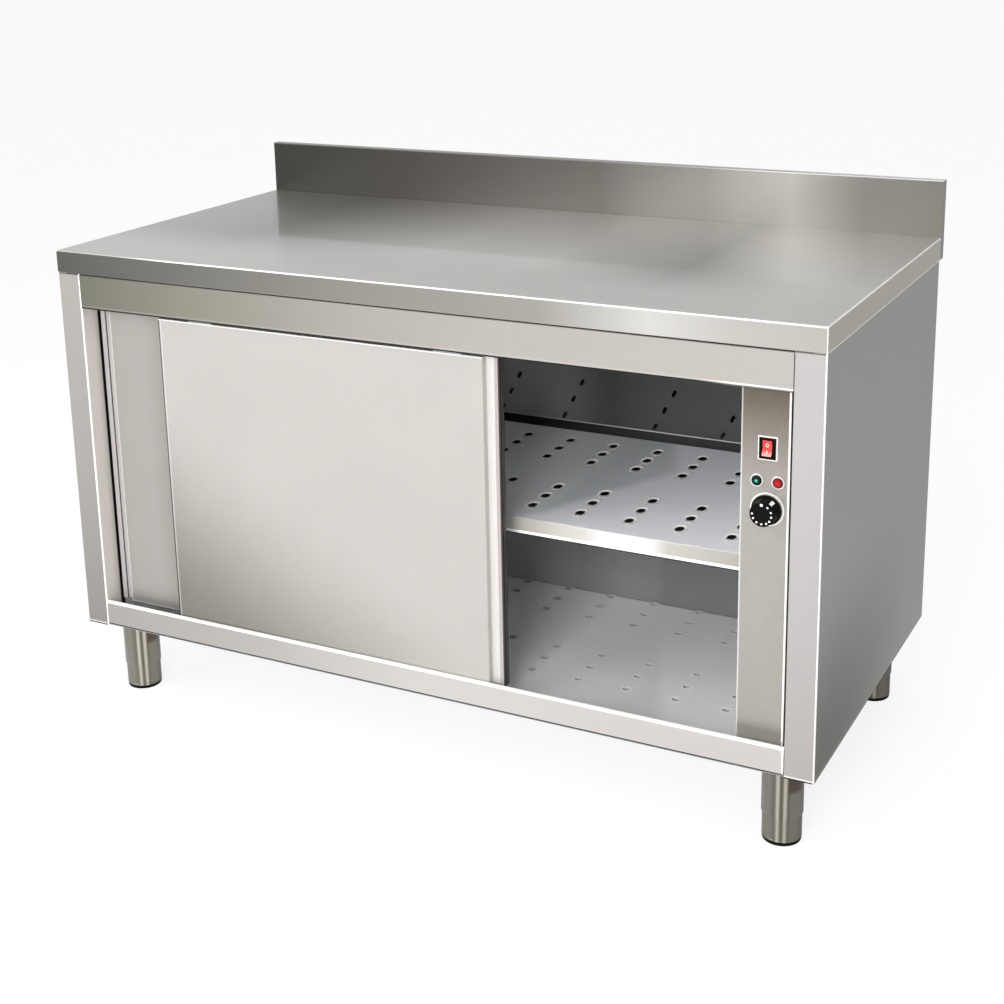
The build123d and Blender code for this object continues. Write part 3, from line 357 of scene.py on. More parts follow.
def rounded(corners, radius, steps=4):
    """A closed outline with its corners cut to arcs: each corner c becomes points of the curve
    (1-t)^2 a + 2t(1-t) c + t^2 b, where a and b lie the radius away from it on its two sides."""
    corners = np.asarray(corners, float)
    before, after = np.roll(corners, 1, 0) - corners, np.roll(corners, -1, 0) - corners
    start = corners + before / np.linalg.norm(before, axis=1)[:, None] * radius
    end = corners + after / np.linalg.norm(after, axis=1)[:, None] * radius
    t = np.linspace(0, 1, steps)[None, :, None]
    curve = (1 - t) ** 2 * start[:, None] + 2 * t * (1 - t) * corners[:, None] + t**2 * end[:, None]
    return curve.reshape(-1, 2)


def publish(name, parts, body, finish, replaces=(), angle=35):
    """Makes one piece of several surfaces, each given as (points, faces, map) or (points, faces),
    closes its seams and poles, turns its faces outwards, and parents it to the empty of the body that it
    rides on."""
    points = np.concatenate([part[0] for part in parts])
    starts = np.cumsum([0] + [len(part[0]) for part in parts[:-1]])
    faces = np.concatenate([part[1] + start for part, start in zip(parts, starts)])
    mesh = bpy.data.meshes.new(name)
    mesh.from_pydata(points, [], faces)
    if len(parts[0]) > 2:
        flat = np.concatenate([part[2] for part in parts]).astype(np.float32)
        mesh.uv_layers.new(name="Around").data.foreach_set("uv", flat.ravel())
    piece = bpy.data.objects.new(name, mesh)
    bpy.context.scene.collection.objects.link(piece)
    shell = bmesh.new()
    shell.from_mesh(mesh)
    bmesh.ops.remove_doubles(shell, verts=shell.verts, dist=1e-7)
    bmesh.ops.recalc_face_normals(shell, faces=shell.faces)
    shell.to_mesh(mesh)
    shell.free()
    mesh.polygons.foreach_set("use_smooth", np.ones(len(mesh.polygons), bool))
    mesh.set_sharp_from_angle(angle=math.radians(angle))
    mesh.materials.append(finish.material)
    if replaces:
        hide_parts(*replaces)
    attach(piece, body)
    return piece


def lathe(profile, centre, axis, steps=RING_STEPS, closed=False):
    """A turned surface with its faces and, around it, a map of turn and height."""
    rows = len(profile)
    faces = quads(rows, steps, closed, True)
    row, column = faces // steps, faces % steps
    wrapped = np.where((column == 0) & (column.max(1) == steps - 1)[:, None], steps, column)
    around = np.stack([wrapped / steps, row / rows], -1).reshape(-1, 2)
    return turned(profile, centre, axis, steps), faces, around

# ---- sizes and colours
def length(name, description, default):
    return bpy.props.FloatProperty(
        name=name, description=description, default=default, unit="LENGTH", subtype="DISTANCE", precision=4
    )


def shade(name, description, *levels):
    return bpy.props.FloatVectorProperty(
        name=name, description=description, default=paint(*levels), subtype="COLOR", min=0, max=1
    )


def amount(name, description, default, **limits):
    return bpy.props.FloatProperty(name=name, description=description, default=default, **limits)


def triple(name, description, subtype, unit, *default):
    return bpy.props.FloatVectorProperty(
        name=name, description=description, default=default, subtype=subtype, unit=unit
    )


class CabinetSizes(bpy.types.PropertyGroup):
    """Sizes of the pieces that are made here."""

    leg_wall: length("Leg wall", "Wall of a leg tube", 0.0012)
    leg_bush: length("Leg bush", "Underside of the threaded bush in a leg, above the ground", 0.104)
    leg_bush_thickness: length("Bush thickness", "Thickness of the threaded bush", 0.012)
    spindle_radius: length("Spindle radius", "Radius of a foot's threaded spindle", 0.008)
    foot_pad: length("Foot pad", "Height of a foot's black pad", 0.006)
    foot_rim: length("Foot rim", "Height of the rolled rim above the pad", 0.003)
    knob_radius: length("Knob radius", "Radius of the thermostat knob at its face", 0.0192)
    knob_skirt: length("Knob skirt", "Thickness of the knob's skirt", 0.004)
    mark_radius: length("Mark radius", "Radius of a dot on the knob's face", 0.0016)
    mark_ring: length("Mark ring", "Radius of the ring of dots", 0.0148)
    rocker_width: length("Rocker width", "Width of the switch's rocker", 0.0144)
    rocker_height: length("Rocker height", "Height of the switch's rocker", 0.0244)
    pull_depth: length("Pull depth", "Depth of a door pull's recess", 0.0115)
    slot_length: length("Slot length", "Length of a plate slot", 0.017)
    slot_width: length("Slot width", "Width of a plate slot", 0.014)
    slot_pitch_x: length("Slot pitch across", "Distance between slot columns", 0.0876)
    slot_pitch_y: length("Slot pitch deep", "Distance between slots of a group", 0.05)
    slot_group_gap: length("Slot group gap", "Added between the front and back groups", 0.088)
    slot_margin_x: length("Slot margin across", "Right edge of the shelf to the last column", 0.049)
    shelf_margin_y: length("Shelf slot margin", "Front edge of the shelf to its first row", 0.06)
    floor_margin_y: length("Floor slot margin", "Case front to the floor's first row", 0.133)
    rim_width: length("Rim width", "Width of the pressed rim round a slot", 0.0034)
    rim_height: length("Rim height", "Height of the pressed rim round a slot", 0.0008)
    collar: length("Collar", "Depth of the collar that hangs in a slot", 0.0085)
    dimple_deep: length("Dimple deep", "Width of the dimple along a slot's sides", 0.0048)


class CabinetColours(bpy.types.PropertyGroup):
    """Colours of the finishes."""

    worktop: shade("Worktop", "Satin steel of the worktop", 230, 230, 226)
    worktop_end: shade("Worktop end", "Steel of the worktop's turned-down ends", 222, 216, 198)
    upstand: shade("Upstand", "Steel of the upstand's face", 176, 177, 174)
    side: shade("Side", "Steel of the side panels", 198, 198, 196)
    door: shade("Front door", "Fine matt steel of the front door", 208, 205, 200)
    # The rear door is the same steel as the front one; its darker colour is painted shade.
    rear_door: shade("Rear door", "Fine matt steel of the rear door", 184, 180, 175)
    liner: shade("Liner", "Steel of the chamber's walls", 238, 240, 240)
    duct: shade("Duct panel", "Darker steel of the perforated panel", 196, 198, 196)
    zinc: shade("Zinc", "Zinc-coated sheet", 176, 180, 184)
    # Colour of the painted highlights along each fold and on the tops of the shelf's slot rims.
    fold: shade("Fold", "Burnished line along a fold", 255, 255, 252)
    black: shade("Black", "Black plastic", 6, 6, 7)
    red: shade("Red", "Red plastic of the rocker", 206, 44, 40)
    red_lamp: shade("Red lamp", "Red lens", 160, 2, 18)
    green_lamp: shade("Green lamp", "Green lens", 4, 40, 36)
    white: shade("White", "White marks and nylon", 240, 240, 236)
    wool: shade("Wool", "Mineral wool", 196, 180, 132)
    board: shade("Board", "Chipboard under the worktop", 178, 142, 98)
    copper: shade("Copper", "Copper bulb and capillary", 196, 118, 84)


class CabinetStage(bpy.types.PropertyGroup):
    """Camera and light."""

    camera_place: triple("Camera place", "Where it stands", "XYZ", "LENGTH", 1.32932, -2.54091, 1.43131)
    camera_turn: triple(
        "Camera turn", "Tilt from straight down, roll and heading", "EULER", "ROTATION",
        *(math.radians(angle) for angle in (75.143, -1.130, 27.543))
    )
    lens: amount("Lens", "Focal length in millimetres", 59.4427)
    rise: amount("Rise", "Vertical shift of the lens", -0.16)
    backdrop: amount("Backdrop", "White of the floor behind the object", 1.16)
    sky: amount("Sky", "Even light from all round", 0.52, min=0)
    key: amount("Key", "Power of the large front light in watts", 70, min=0)
    fill: amount("Fill", "Power of the top light in watts", 26, min=0)
    front: amount("Front", "Power of the low front light in watts", 98, min=0)
    room: amount("Room", "Middle level that polished steel shows", 0.68)
    room_slope: amount("Room slope", "How much lighter the room is to the front left", 0.26)
    room_rise: amount("Room rise", "How much lighter it is overhead", 0.12)


# ---- worktop
def worktop_steel(colours):
    """Satin sheet with painted reflections on its front edge and over the back of its top, ends painted in
    two shades, the right one warm, and painted highlights along each fold.
    """
    finish, level = brushed("worktop", "X", 0.3, 0.07, 0.06, Coat_Weight=0.6, Coat_Roughness=0.05)
    left, right, front = map(finish.behind, ("left", "right", "front"))
    top, bottom, ends = map(finish.behind, ("top", "bottom", "ends"))
    # Painted reflection on the front edge: darker to the left, with a painted highlight right of the middle.
    edge = finish.ramp(
        left, (0, 99, 98, 94), (240, 122, 121, 116), (600, 159, 155, 147), (950, 178, 175, 168),
        (1130, 231, 229, 224), (1260, 210, 207, 201), (1400, 202, 199, 192)
    )
    # Painted reflection on the top, which shows behind its front strip and is lightest near the middle.
    painted_top_reflection = finish.ramp(
        left, (0, 200, 199, 195), (250, 174, 173, 170), (620, 255, 255, 252), (850, 255, 255, 251),
        (1080, 170, 170, 166), (1300, 236, 235, 231)
    )
    face = mix(step(front, 80, 300), colours.worktop, painted_top_reflection)
    steel = mix(step(front, 0.9, 0.2), face, edge)
    # Painted shade on the ends: the left one a darker grey than the warm right one.
    warm = mix(step(finish.x, -0.1, 0.1), paint(178, 177, 173), colours.worktop_end)
    steel = tint(mix(step(ends, 0.9, 0.2), steel, warm), level)
    # Painted highlights along the front and end edges of the top, at the front right corner and along the
    # lower hem.
    crest = step(top, 2.6, 1.6)
    lit = step(left, 120, 300)
    near = step(front, 2.6, 1.6) * lit
    beside = step(ends, 2.4, 1.4)
    corner = near * step(right, 1.8, 1) * 0.7
    hem = step(bottom, 2.4, 1) * most(beside, lit * 0.15)
    finish.paint_fold_highlights(steel, 0.92, most(crest * (near + beside), corner, hem), colours.fold)
    return finish


def upstand_steel(colours):
    """Satin sheet with a painted reflection on its front, darker to the left with a painted highlight right
    of the middle, and painted highlights along its top fold and its cove.
    """
    finish, level = brushed("upstand", "X", 0.3, 0.05, 0.05)
    left, front, top, bottom = map(finish.behind, ("left", "front", "top", "bottom"))
    # Painted reflection on the front face, with a painted highlight right of the middle.
    painted_shades = finish.ramp(
        left, (0, 70, 71, 66), (320, 79, 76, 73), (750, 98, 94, 90), (960, 142, 139, 135),
        (1130, 198, 195, 190), (1260, 148, 144, 139), (1400, 140, 137, 132)
    )
    steel = tint(mix(step(front, 1.2, 0.4), colours.upstand, painted_shades), level)
    # Painted highlights along the right part of the top fold and in the cove.
    crest = step(top, 1.6, 0.8) * step(left, 700, 1400) * 0.5
    cove = step(bottom, 3.4, 2.2) * 0.4
    finish.paint_fold_highlights(steel, 0.9, most(crest, cove), colours.fold)
    return finish


def chipboard(colours):
    """Flakes and specks of pressed wood."""
    finish = Finish("worktop_board", Roughness=0.85)
    flakes, specks = finish.cells(240), finish.noise((90, 90, 260), 4.0, 0.7)
    finish.colour(tint(colours.board, 0.7 + flakes * 0.5 + (specks - 0.5) * 0.7))
    finish.bump(specks + flakes, 0.0003)
    return finish


class CABINET_OT_dress_worktop(bpy.types.Operator):
    """Finish the worktop, its upstand and the board under it"""

    bl_idname = "cabinet.dress_worktop"
    bl_label = "Worktop"

    def execute(self, context):
        colours = context.scene.cabinet_colours
        dress(worktop_steel(colours), "worktop")
        dress(upstand_steel(colours), "upstand")
        dress(chipboard(colours), "worktop_board")
        return {"FINISHED"}


# ---- case
def side_steel(name, colours, stops, foot_shade, seam_light):
    """Brushed sheet with painted shade down its front flange and towards its lower front, painted light on
    the jamb inside with painted shade deeper in, painted shadow along its bottom and under the worktop, and
    painted highlights along each fold.
    """
    finish, level = brushed(name, "Z", 0.36, 0.03, 0.06)
    front, top, bottom, ends = map(finish.behind, ("front", "top", "bottom", "ends"))
    past = (abs(finish.x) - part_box("front_fascia")[1].x) * 1000
    flange = step(front, 1.4, 0.4)
    back = step(finish.y, finish.high.y, finish.low.y)
    # Painted shade towards the lower front of the wall, as strong as foot_shade.
    down = step(finish.z, 0.5, finish.low.z) * back * foot_shade
    wall = mix(down, colours.side, paint(72, 64, 52))
    # Painted shade down the front flange, from the given stops.
    steel = tint(mix(flange, wall, finish.ramp(finish.z, *stops)), level)
    # Painted highlights along the flange's inner edge and its front corner.
    seam = line(past, 0.4, 2.2, 0.5) * seam_light
    corner = step(ends, 2.6, 1.6) * 0.85
    fold_highlights = most(seam, corner) * step(front, 2.8, 2)
    # A painted highlight in a line near the foot, and a painted shadow at the very bottom.
    foot = line(bottom, 2.4, 4.4, 0.8) * (0.2 + flange * 0.3)
    sole = step(bottom, 2.6, 1.6)
    # Painted light on the jamb from 2.4 to 38 mm behind the front, pale and less metallic, and painted shade
    # deeper in.
    inside = step(past, 6, 4)
    jamb = inside * step(front, 1, 2.4) * step(front, 42, 38)
    deep = inside * step(front, 38, 42)
    # Painted shadow under the worktop along the flange's top.
    under = step(top, 2.4, 0.8) * flange * 0.7
    steel = mix(jamb, steel, paint(224, 219, 211))
    steel = mix(most(deep, sole, under), steel, paint(40, 42, 46))
    finish.paint_fold_highlights(steel, 0.92 * (1 - jamb * 0.85), most(fold_highlights, foot), colours.fold)
    return finish


def fascia_steel(colours):
    """Brushed sheet with painted shade that lightens to the right, a painted shadow along its top and its
    lower edge, and a painted highlight on the hem along its lower edge.
    """
    finish, level = brushed("front_fascia", "X", 0.36, 0.05, 0.05)
    top, bottom = finish.behind("top"), finish.behind("bottom")
    # Painted shade, lighter to the right.
    painted_shades = finish.ramp(
        finish.x, (finish.low.x, 135, 134, 122), (-0.42, 161, 158, 146), (-0.14, 187, 182, 174),
        (0.16, 203, 198, 191), (finish.high.x, 210, 205, 199)
    )
    # Painted highlight on the hem, stronger over the control panel, and painted shadow along the top and the
    # lower edge.
    over = step(finish.x, 0.5, 0.57)
    hem = line(bottom, 3.4, 5.6, 0.8) * (0.1 + over * 0.5)
    under = most(step(top, 3, 1), step(bottom, 3.8, 2.8) * (1 - over * 0.4))
    steel = mix(under, tint(painted_shades, level), paint(58, 56, 52))
    finish.paint_fold_highlights(steel, 0.92, hem, colours.fold)
    return finish


def rail_steel(colours):
    """Brushed sheet with painted shade that lightens to the right, painted highlights along its top fold and
    its right end, and a painted shadow along its lower edge.
    """
    finish, level = brushed("bottom_rail", "X", 0.4, 0.04, 0.05)
    top, bottom, right = map(finish.behind, ("top", "bottom", "right"))
    # Painted shade, lighter to the right.
    painted_shades = finish.ramp(
        finish.x, (finish.low.x, 189, 184, 180), (-0.3, 200, 197, 193), (0.0, 222, 218, 214),
        (finish.high.x, 228, 222, 219)
    )
    # Painted shadow along the lower edge; painted highlights along the top fold and at the right end.
    under = step(bottom, 3.4, 2.2)
    end = step(right, 3.6, 2.2) * (0.8 - under * 0.8)
    steel = mix(under, tint(painted_shades, level), paint(20))
    finish.paint_fold_highlights(steel, 0.85, most(step(top, 4.6, 3), end), colours.fold)
    return finish


def zinc_sheet(colours):
    """Zinc-coated sheet with its spangle and clouds."""
    finish = Finish("zinc_sheet", Metallic=0.8)
    spangle, clouds = finish.cells(85), finish.noise(5, 4.0)
    finish.colour(tint(colours.zinc, 0.82 + spangle * 0.22 + (clouds - 0.5) * 0.3))
    finish.roughness(0.42 + (clouds - 0.5) * 0.2 + spangle * 0.06)
    finish.bump(spangle, 0.00005)
    return finish


class CABINET_OT_dress_case(bpy.types.Operator):
    """Finish the side panels, fascia, bottom rail, base, back and its screws"""

    bl_idname = "cabinet.dress_case"
    bl_label = "Case"

    def execute(self, context):
        colours = context.scene.cabinet_colours
        # Painted shade down each front flange, the left one darker than the right; the right panel also takes
        # painted shade towards its lower front.
        left = ((0.14, 170, 165, 160), (0.45, 190, 187, 182), (0.81, 200, 194, 189))
        right = ((0.14, 208, 202, 200), (0.45, 211, 208, 207), (0.81, 214, 211, 210))
        dress(side_steel("left_side_panel", colours, left, 0.0, 1.0), "left_side_panel")
        dress(side_steel("right_side_panel", colours, right, 0.8, 0.0), "right_side_panel")
        dress(fascia_steel(colours), "front_fascia")
        dress(rail_steel(colours), "bottom_rail")
        dress(zinc_sheet(colours), "base_panel", "back_panel", "panel_screws", "leg_nuts", "door_track")
        return {"FINISHED"}


# ---- doors
def door_steel(door, colour, colours, shadow, left_light):
    """Fine matt steel with painted shade towards the front door's lower left, painted shadows at the front
    door's left edge and on the rear door beside it, and painted highlights along its rim.
    """
    finish, level = brushed(f"{door}_skin", "Z", 0.5, 0.012, 0.03)
    left, front, top, bottom = map(finish.behind, ("left", "front", "top", "bottom"))
    mottle, drift = finish.noise(380, 3.0, 0.65), finish.noise(7, 2.0, 0.5, (2.2, 0.4, 6.1))
    level = level + (mottle - 0.5) * 0.12 + (drift - 0.5) * 0.08
    # Painted shade towards the lower left, on the front door.
    corner = step(bottom + left * 0.55, 420, -20) * shadow
    # Painted shadow on the rear door towards the front door's left edge and behind it.
    beside = step(finish.x, -0.55, -0.5) * left_light * 0.3
    plain = mix(corner, colour, paint(128, 124, 116))
    plain = mix(beside, plain, paint(120, 116, 108))
    # Painted shadow in a line along the front door's left edge.
    plain = mix(step(left, 3.8, 2.6) * shadow, plain, paint(70, 68, 64))
    # Painted highlights along the top and bottom of the rim, the rear door's left edge, and a line beside the
    # front door's left shadow line.
    rim = most(
        step(top, 2.8, 1.6),
        step(bottom, 2.4, 1.2),
        step(left, 2.8, 1.6) * left_light,
        line(left, 4.4, 6, 0.6) * shadow * 0.4,
    )
    rim = rim * step(front, 2.4, 1.2) * 0.8
    finish.paint_fold_highlights(tint(plain, level), 0.75, rim, colours.fold)
    return finish


def pull_steel(door, sizes, shadow, rib, floor):
    """A door's pull in painted light and shade: light ribs, dark flanks and a lighter floor, and a painted
    shadow at the front door's right end.
    """
    finish, level = brushed(f"{door}_pull", "Z", 0.4, 0.03, 0.04, Specular_IOR_Level=0.2)
    deep = (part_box(f"{door}_skin")[0].y + sizes.pull_depth - finish.low.y) * 1000
    # Painted light and shade by depth behind the front: the rib's face, its dark flanks and the recess floor.
    painted_shades = finish.ramp(
        finish.behind("front"), (0, *rib), (1.2, *rib), (2.2, 66, 64, 62), (deep - 1.4, 72, 70, 68),
        (deep - 0.6, *floor), (deep, *floor)
    )
    # Painted shadow, near black, at the front door's right end.
    end = step(finish.behind("right"), 3.6, 2.4) * shadow
    finish.colour(mix(end, tint(painted_shades, level), paint(6)))
    finish.metal(0.3 * (1 - end))
    return finish


def door_back_steel(name, colours):
    """A door's inner sheet, with painted shade along its right end."""
    finish, level = brushed(name, "X", 0.4, 0.08, 0.1, Metallic=0.4)
    # Painted shade, near black, along the right end.
    end = step(finish.behind("right"), 1.4, 0.4)
    finish.colour(mix(end, tint(colours.liner, level), paint(14)))
    return finish


class CABINET_OT_dress_doors(bpy.types.Operator):
    """Finish the two sliding doors with their pulls, hangers and rollers"""

    bl_idname = "cabinet.dress_doors"
    bl_label = "Doors"

    def execute(self, context):
        sizes, colours = context.scene.cabinet_sizes, context.scene.cabinet_colours
        # The pulls' rib and floor colours are painted light and shade of their faces.
        for door, colour, shadow, left_light, rib, floor in (
            ("front_door", colours.door, 0.9, 0.0, (180, 171, 169), (220, 217, 213)),
            ("rear_door", colours.rear_door, 0.0, 0.8, (192, 185, 187), (200, 196, 193)),
        ):
            dress(door_steel(door, colour, colours, shadow, left_light), f"{door}_skin")
            dress(pull_steel(door, sizes, shadow, rib, floor), f"{door}_pull")
            dress(door_back_steel(f"{door}_back", colours), f"{door}_back")
        hanger = plain_steel("hanger_steel", colours.zinc, "X", 0.4, 0.1, 0.16, 0.85)
        dress(hanger, *(f"{door}_hangers" for door in DOORS))
        nylon = moulded("roller_nylon", colours.white, 0.4)
        dress(nylon, *(f"{door}_{hand}_roller" for door in DOORS for hand in ("left", "right")))
        dress(nylon, "door_guide", "terminal_block")
        return {"FINISHED"}


# ---- chamber
def duct_steel(colours):
    """Darker steel of the perforated panel, with painted shade to the right and a painted highlight on the
    hem at its foot.
    """
    finish, level = brushed("duct_panel", "X", 0.45, 0.05, 0.1)
    # Painted highlight on the hem at the foot.
    hem = step(finish.behind("bottom"), 4, 2.2) * 0.6
    # Painted shade to the right.
    steel = mix(step(finish.x, -0.1, 0.12), colours.duct, paint(84, 87, 85))
    finish.paint_fold_highlights(tint(steel, level), 0.2, hem, colours.fold)
    return finish


def heater_cover_steel():
    """Steel of the heater's box with painted shade, darker to the right with a soft step, and a painted
    shadow along its top edge.
    """
    finish, level = brushed("heater_cover", "X", 0.42, 0.05, 0.08, Metallic=0.2)
    # Painted shade, darker to the right.
    painted_shades = finish.ramp(
        finish.x, (0.0, 180, 182, 181), (0.1, 142, 144, 143), (0.257, 130, 133, 132),
        (0.269, 121, 124, 123), (0.36, 119, 121, 121), (0.55, 112, 115, 115)
    )
    # Painted shadow along the top edge.
    crown = step(finish.behind("top"), 2.2, 0.8)
    finish.colour(mix(crown, tint(painted_shades, level), paint(22)))
    return finish


def shelf_face(finish):
    """Painted light and shade on the shelf's face, with a painted strip of light ahead of a slanting line and
    behind another.
    """
    painted_shades = finish.ramp(
        finish.x, (-0.34, 196, 198, 200), (-0.08, 250, 251, 251), (0.06, 252, 253, 253),
        (0.2, 202, 205, 208), (0.42, 230, 232, 236)
    )
    # Painted strip of light ahead of one slanting line and behind another.
    ahead = step(finish.x - finish.y * 0.457, 0.275, 0.318)
    behind = step(finish.x + finish.y * 0.385, 0.318, 0.358)
    return mix(most(ahead, behind), painted_shades, paint(244, 244, 249))


def floor_face(finish):
    """Painted light and shade on the floor's face along a slanting line, with a painted strip of light at the
    right.
    """
    slant = finish.x - finish.y * 0.5
    painted_shades = finish.ramp(slant, (-0.4, 200), (-0.1, 255), (0.0, 254), (0.26, 232), (0.5, 204))
    # Painted strip of light at the right.
    beside = step(finish.x + finish.y * 0.418, 0.29, 0.325)
    return mix(beside * 0.5, painted_shades, paint(232, 232, 231))


def slotted_steel(name, face, colours):
    """A slotted sheet: painted shade on its face, painted light along its front apron, a painted highlight on
    the hem and a painted shadow under it.
    """
    finish, level = brushed(name, "X", 0.36, 0.05, 0.08)
    bottom = finish.behind("bottom")
    near = step(finish.behind("front"), 1.6, 0.6)
    # Painted light along the front apron.
    lip = finish.ramp(
        finish.x, (0.17, 176, 172, 164), (0.28, 192, 188, 180), (0.322, 214, 215, 219),
        (0.396, 214, 215, 219), (0.428, 178, 174, 167), (0.55, 160, 156, 149)
    )
    steel = tint(mix(near, face(finish), lip), level)
    # Painted highlight on the hem and painted shadow at the apron's foot.
    hem = near * line(bottom, 3.8, 7.6, 1)
    under = near * step(bottom, 3.6, 2.6)
    finish.paint_fold_highlights(mix(under, steel, paint(10)), 0.06, hem, colours.fold)
    return finish


def mineral_wool(colours):
    """Matted fibres in layers."""
    finish = Finish("mineral_wool", Roughness=0.95)
    fibres, clouds = finish.noise((60, 60, 700), 5.0, 0.7), finish.noise(14, 3.0)
    finish.colour(tint(colours.wool, 0.6 + fibres * 0.5 + clouds * 0.3))
    finish.bump(fibres, 0.001)
    return finish


class CABINET_OT_dress_chamber(bpy.types.Operator):
    """Finish the chamber: walls, ceiling, perforated panel, heater box, floor, shelf and insulation"""

    bl_idname = "cabinet.dress_chamber"
    bl_label = "Chamber"

    def execute(self, context):
        colours = context.scene.cabinet_colours
        liner = plain_steel("liner_steel", colours.liner, "X", 0.42, 0.05, 0.08, 0.15)
        dress(liner, "left_inner_wall", "right_inner_wall", "ceiling_panel", "shelf_brackets")
        # The rear inner wall is painted dark grey: painted shade where it shows through the gap behind the
        # shelf.
        dress(plain_steel("duct_wall", paint(92), "X", 0.5, 0.1, 0.2, 0.1), "rear_inner_wall")
        dress(duct_steel(colours), "duct_panel")
        dress(heater_cover_steel(), "heater_cover")
        dress(slotted_steel("shelf", shelf_face, colours), "shelf")
        dress(slotted_steel("slotted_floor", floor_face, colours), "slotted_floor")
        dress(mineral_wool(colours), "insulation", "front_door_core", "rear_door_core")
        return {"FINISHED"}


# ---- controls
def control_panel_steel(colours):
    """Brushed sheet with painted shade that darkens upwards to a painted shadow under the fascia, painted
    shade on its returns and along its right end, and painted highlights round the dial, the switch and its
    own edges.
    """
    finish, level = brushed("control_panel", "Z", 0.42, 0.04, 0.05)
    left, right, front, bottom = map(finish.behind, ("left", "right", "front", "bottom"))
    # Painted shade, darker upwards, ending in a painted shadow under the fascia.
    painted_shades = finish.ramp(
        finish.z, (finish.low.z, 206, 203, 196), (finish.low.z + 0.05, 182, 179, 172),
        (0.58, 184, 179, 174), (0.66, 154, 147, 138), (0.72, 123, 114, 104), (0.7385, 119, 111, 100),
        (0.7405, 20)
    )
    painted_shades = tint(painted_shades, level + (finish.noise(90, 4.0, 0.6) - 0.5) * 0.16)
    # Painted shade on the returns and in a strip along the right end.
    painted_shades = mix(step(front, 2, 4), painted_shades, paint(20))
    painted_shades = mix(step(right, 11.2, 10.4), painted_shades, paint(30))
    centre, half = middle("thermostat_knob")
    # Painted highlights round the dial and the switch frame, and along the left and right edges.
    edge = most(
        step(left, 3, 1) * 0.5,
        line(right, 11.8, 13.8, 0.8),
        line(finish.away(centre) - half[0], 0.0001, 0.0021, 0.0005) * 0.8,
        line(finish.outside("switch_housing"), 0.0, 0.0018, 0.0005) * 0.8,
    )
    edge = edge * step(front, 4, 3) * 0.9
    finish.paint_fold_highlights(painted_shades, 0.75 * step(bottom, 0, 60), edge, colours.fold)
    return finish


def switch_frame(colours):
    """Black plastic, with a painted highlight along the rim of the switch's frame."""
    finish = Finish("switch_housing", Roughness=0.4, Specular_IOR_Level=0.12)
    # Painted highlight along the rim.
    rim = step(finish.outside("switch_housing"), -0.0016, -0.0008)
    rim = rim * step(finish.behind("front"), 0.5, 1.2) * 0.7
    plain = tint(colours.black, 0.8 + finish.noise(900) * 0.4)
    finish.colour(mix(rim, plain, paint(224, 222, 216)))
    return finish


def chrome():
    """Polished chrome with a faint haze."""
    finish = Finish("chrome_ring", Metallic=1.0)
    haze = finish.noise(300, 3.0)
    finish.colour(tint(paint(250, 249, 246), 1 + (haze - 0.5) * 0.1))
    finish.roughness(0.16 + (haze - 0.5) * 0.12)
    return finish


def lens_plastic(name, colour, core, dark_from):
    """A lamp's lens: a lit core, the lamp's colour round it, and a dark rim."""
    finish = Finish(name, Roughness=0.14, Coat_Weight=0.1, Coat_Roughness=0.05, Specular_IOR_Level=0.2)
    centre, half = middle(name)
    away = finish.away(centre) / half[0]
    facets = finish.noise(700, 1.0)
    glow = mix(step(away, 0.4, 0.12), colour, core)
    dark = mix(step(away, dark_from, 0.95) * 0.95, glow, paint(6, 5, 6))
    finish.colour(tint(dark, 0.85 + facets * 0.3))
    finish.bump(facets, 0.0001)
    return finish


class CABINET_OT_dress_controls(bpy.types.Operator):
    """Finish the control panel, the switch's frame, the lamps and the thermostat's body"""

    bl_idname = "cabinet.dress_controls"
    bl_label = "Controls"

    def execute(self, context):
        colours = context.scene.cabinet_colours
        dress(control_panel_steel(colours), "control_panel")
        plastic = moulded("black_moulding", colours.black, 0.4, 0.1)
        dress(plastic, "thermostat_body", "fan_frame", "fan_rotor", "cable_gland")
        dress(switch_frame(colours), "switch_housing")
        dress(moulded("black_rubber", colours.black, 0.62, 0.0, 0.00008), "track_stops", "wiring_loom")
        dress(chrome(), "lamp_bezels")
        dress(lens_plastic("green_lens", colours.green_lamp, paint(30, 206, 176), 0.1), "green_lens")
        dress(lens_plastic("red_lens", colours.red_lamp, paint(150, 44, 22), 0.6), "red_lens")
        return {"FINISHED"}


# ---- heater
def element_sheath():
    """Steel sheath, clouded by heat."""
    finish = Finish("element_sheath", Metallic=0.9)
    heat = finish.noise((7, 60, 60), 3.0)
    finish.colour(mix(heat, paint(92, 84, 80), paint(140, 128, 116)))
    finish.roughness(0.5 + (heat - 0.5) * 0.3)
    return finish


def copper_tube(colours):
    """Copper with a light tarnish."""
    finish = Finish("copper_tube", Metallic=1.0)
    tarnish = finish.noise(70, 4.0)
    finish.colour(tint(colours.copper, 0.8 + tarnish * 0.4))
    finish.roughness(0.3 + tarnish * 0.15)
    return finish


class CABINET_OT_dress_heater(bpy.types.Operator):
    """Finish the heating elements, their brackets, the fan's bulkhead and the sensing bulb"""

    bl_idname = "cabinet.dress_heater"
    bl_label = "Heater"

    def execute(self, context):
        colours = context.scene.cabinet_colours
        dress(element_sheath(), "heating_elements")
        bracket = plain_steel("bracket_steel", colours.zinc, "Z", 0.42, 0.1, 0.16, 0.85)
        dress(bracket, "element_brackets", "fan_bulkhead")
        dress(copper_tube(colours), "sensing_bulb")
        return {"FINISHED"}


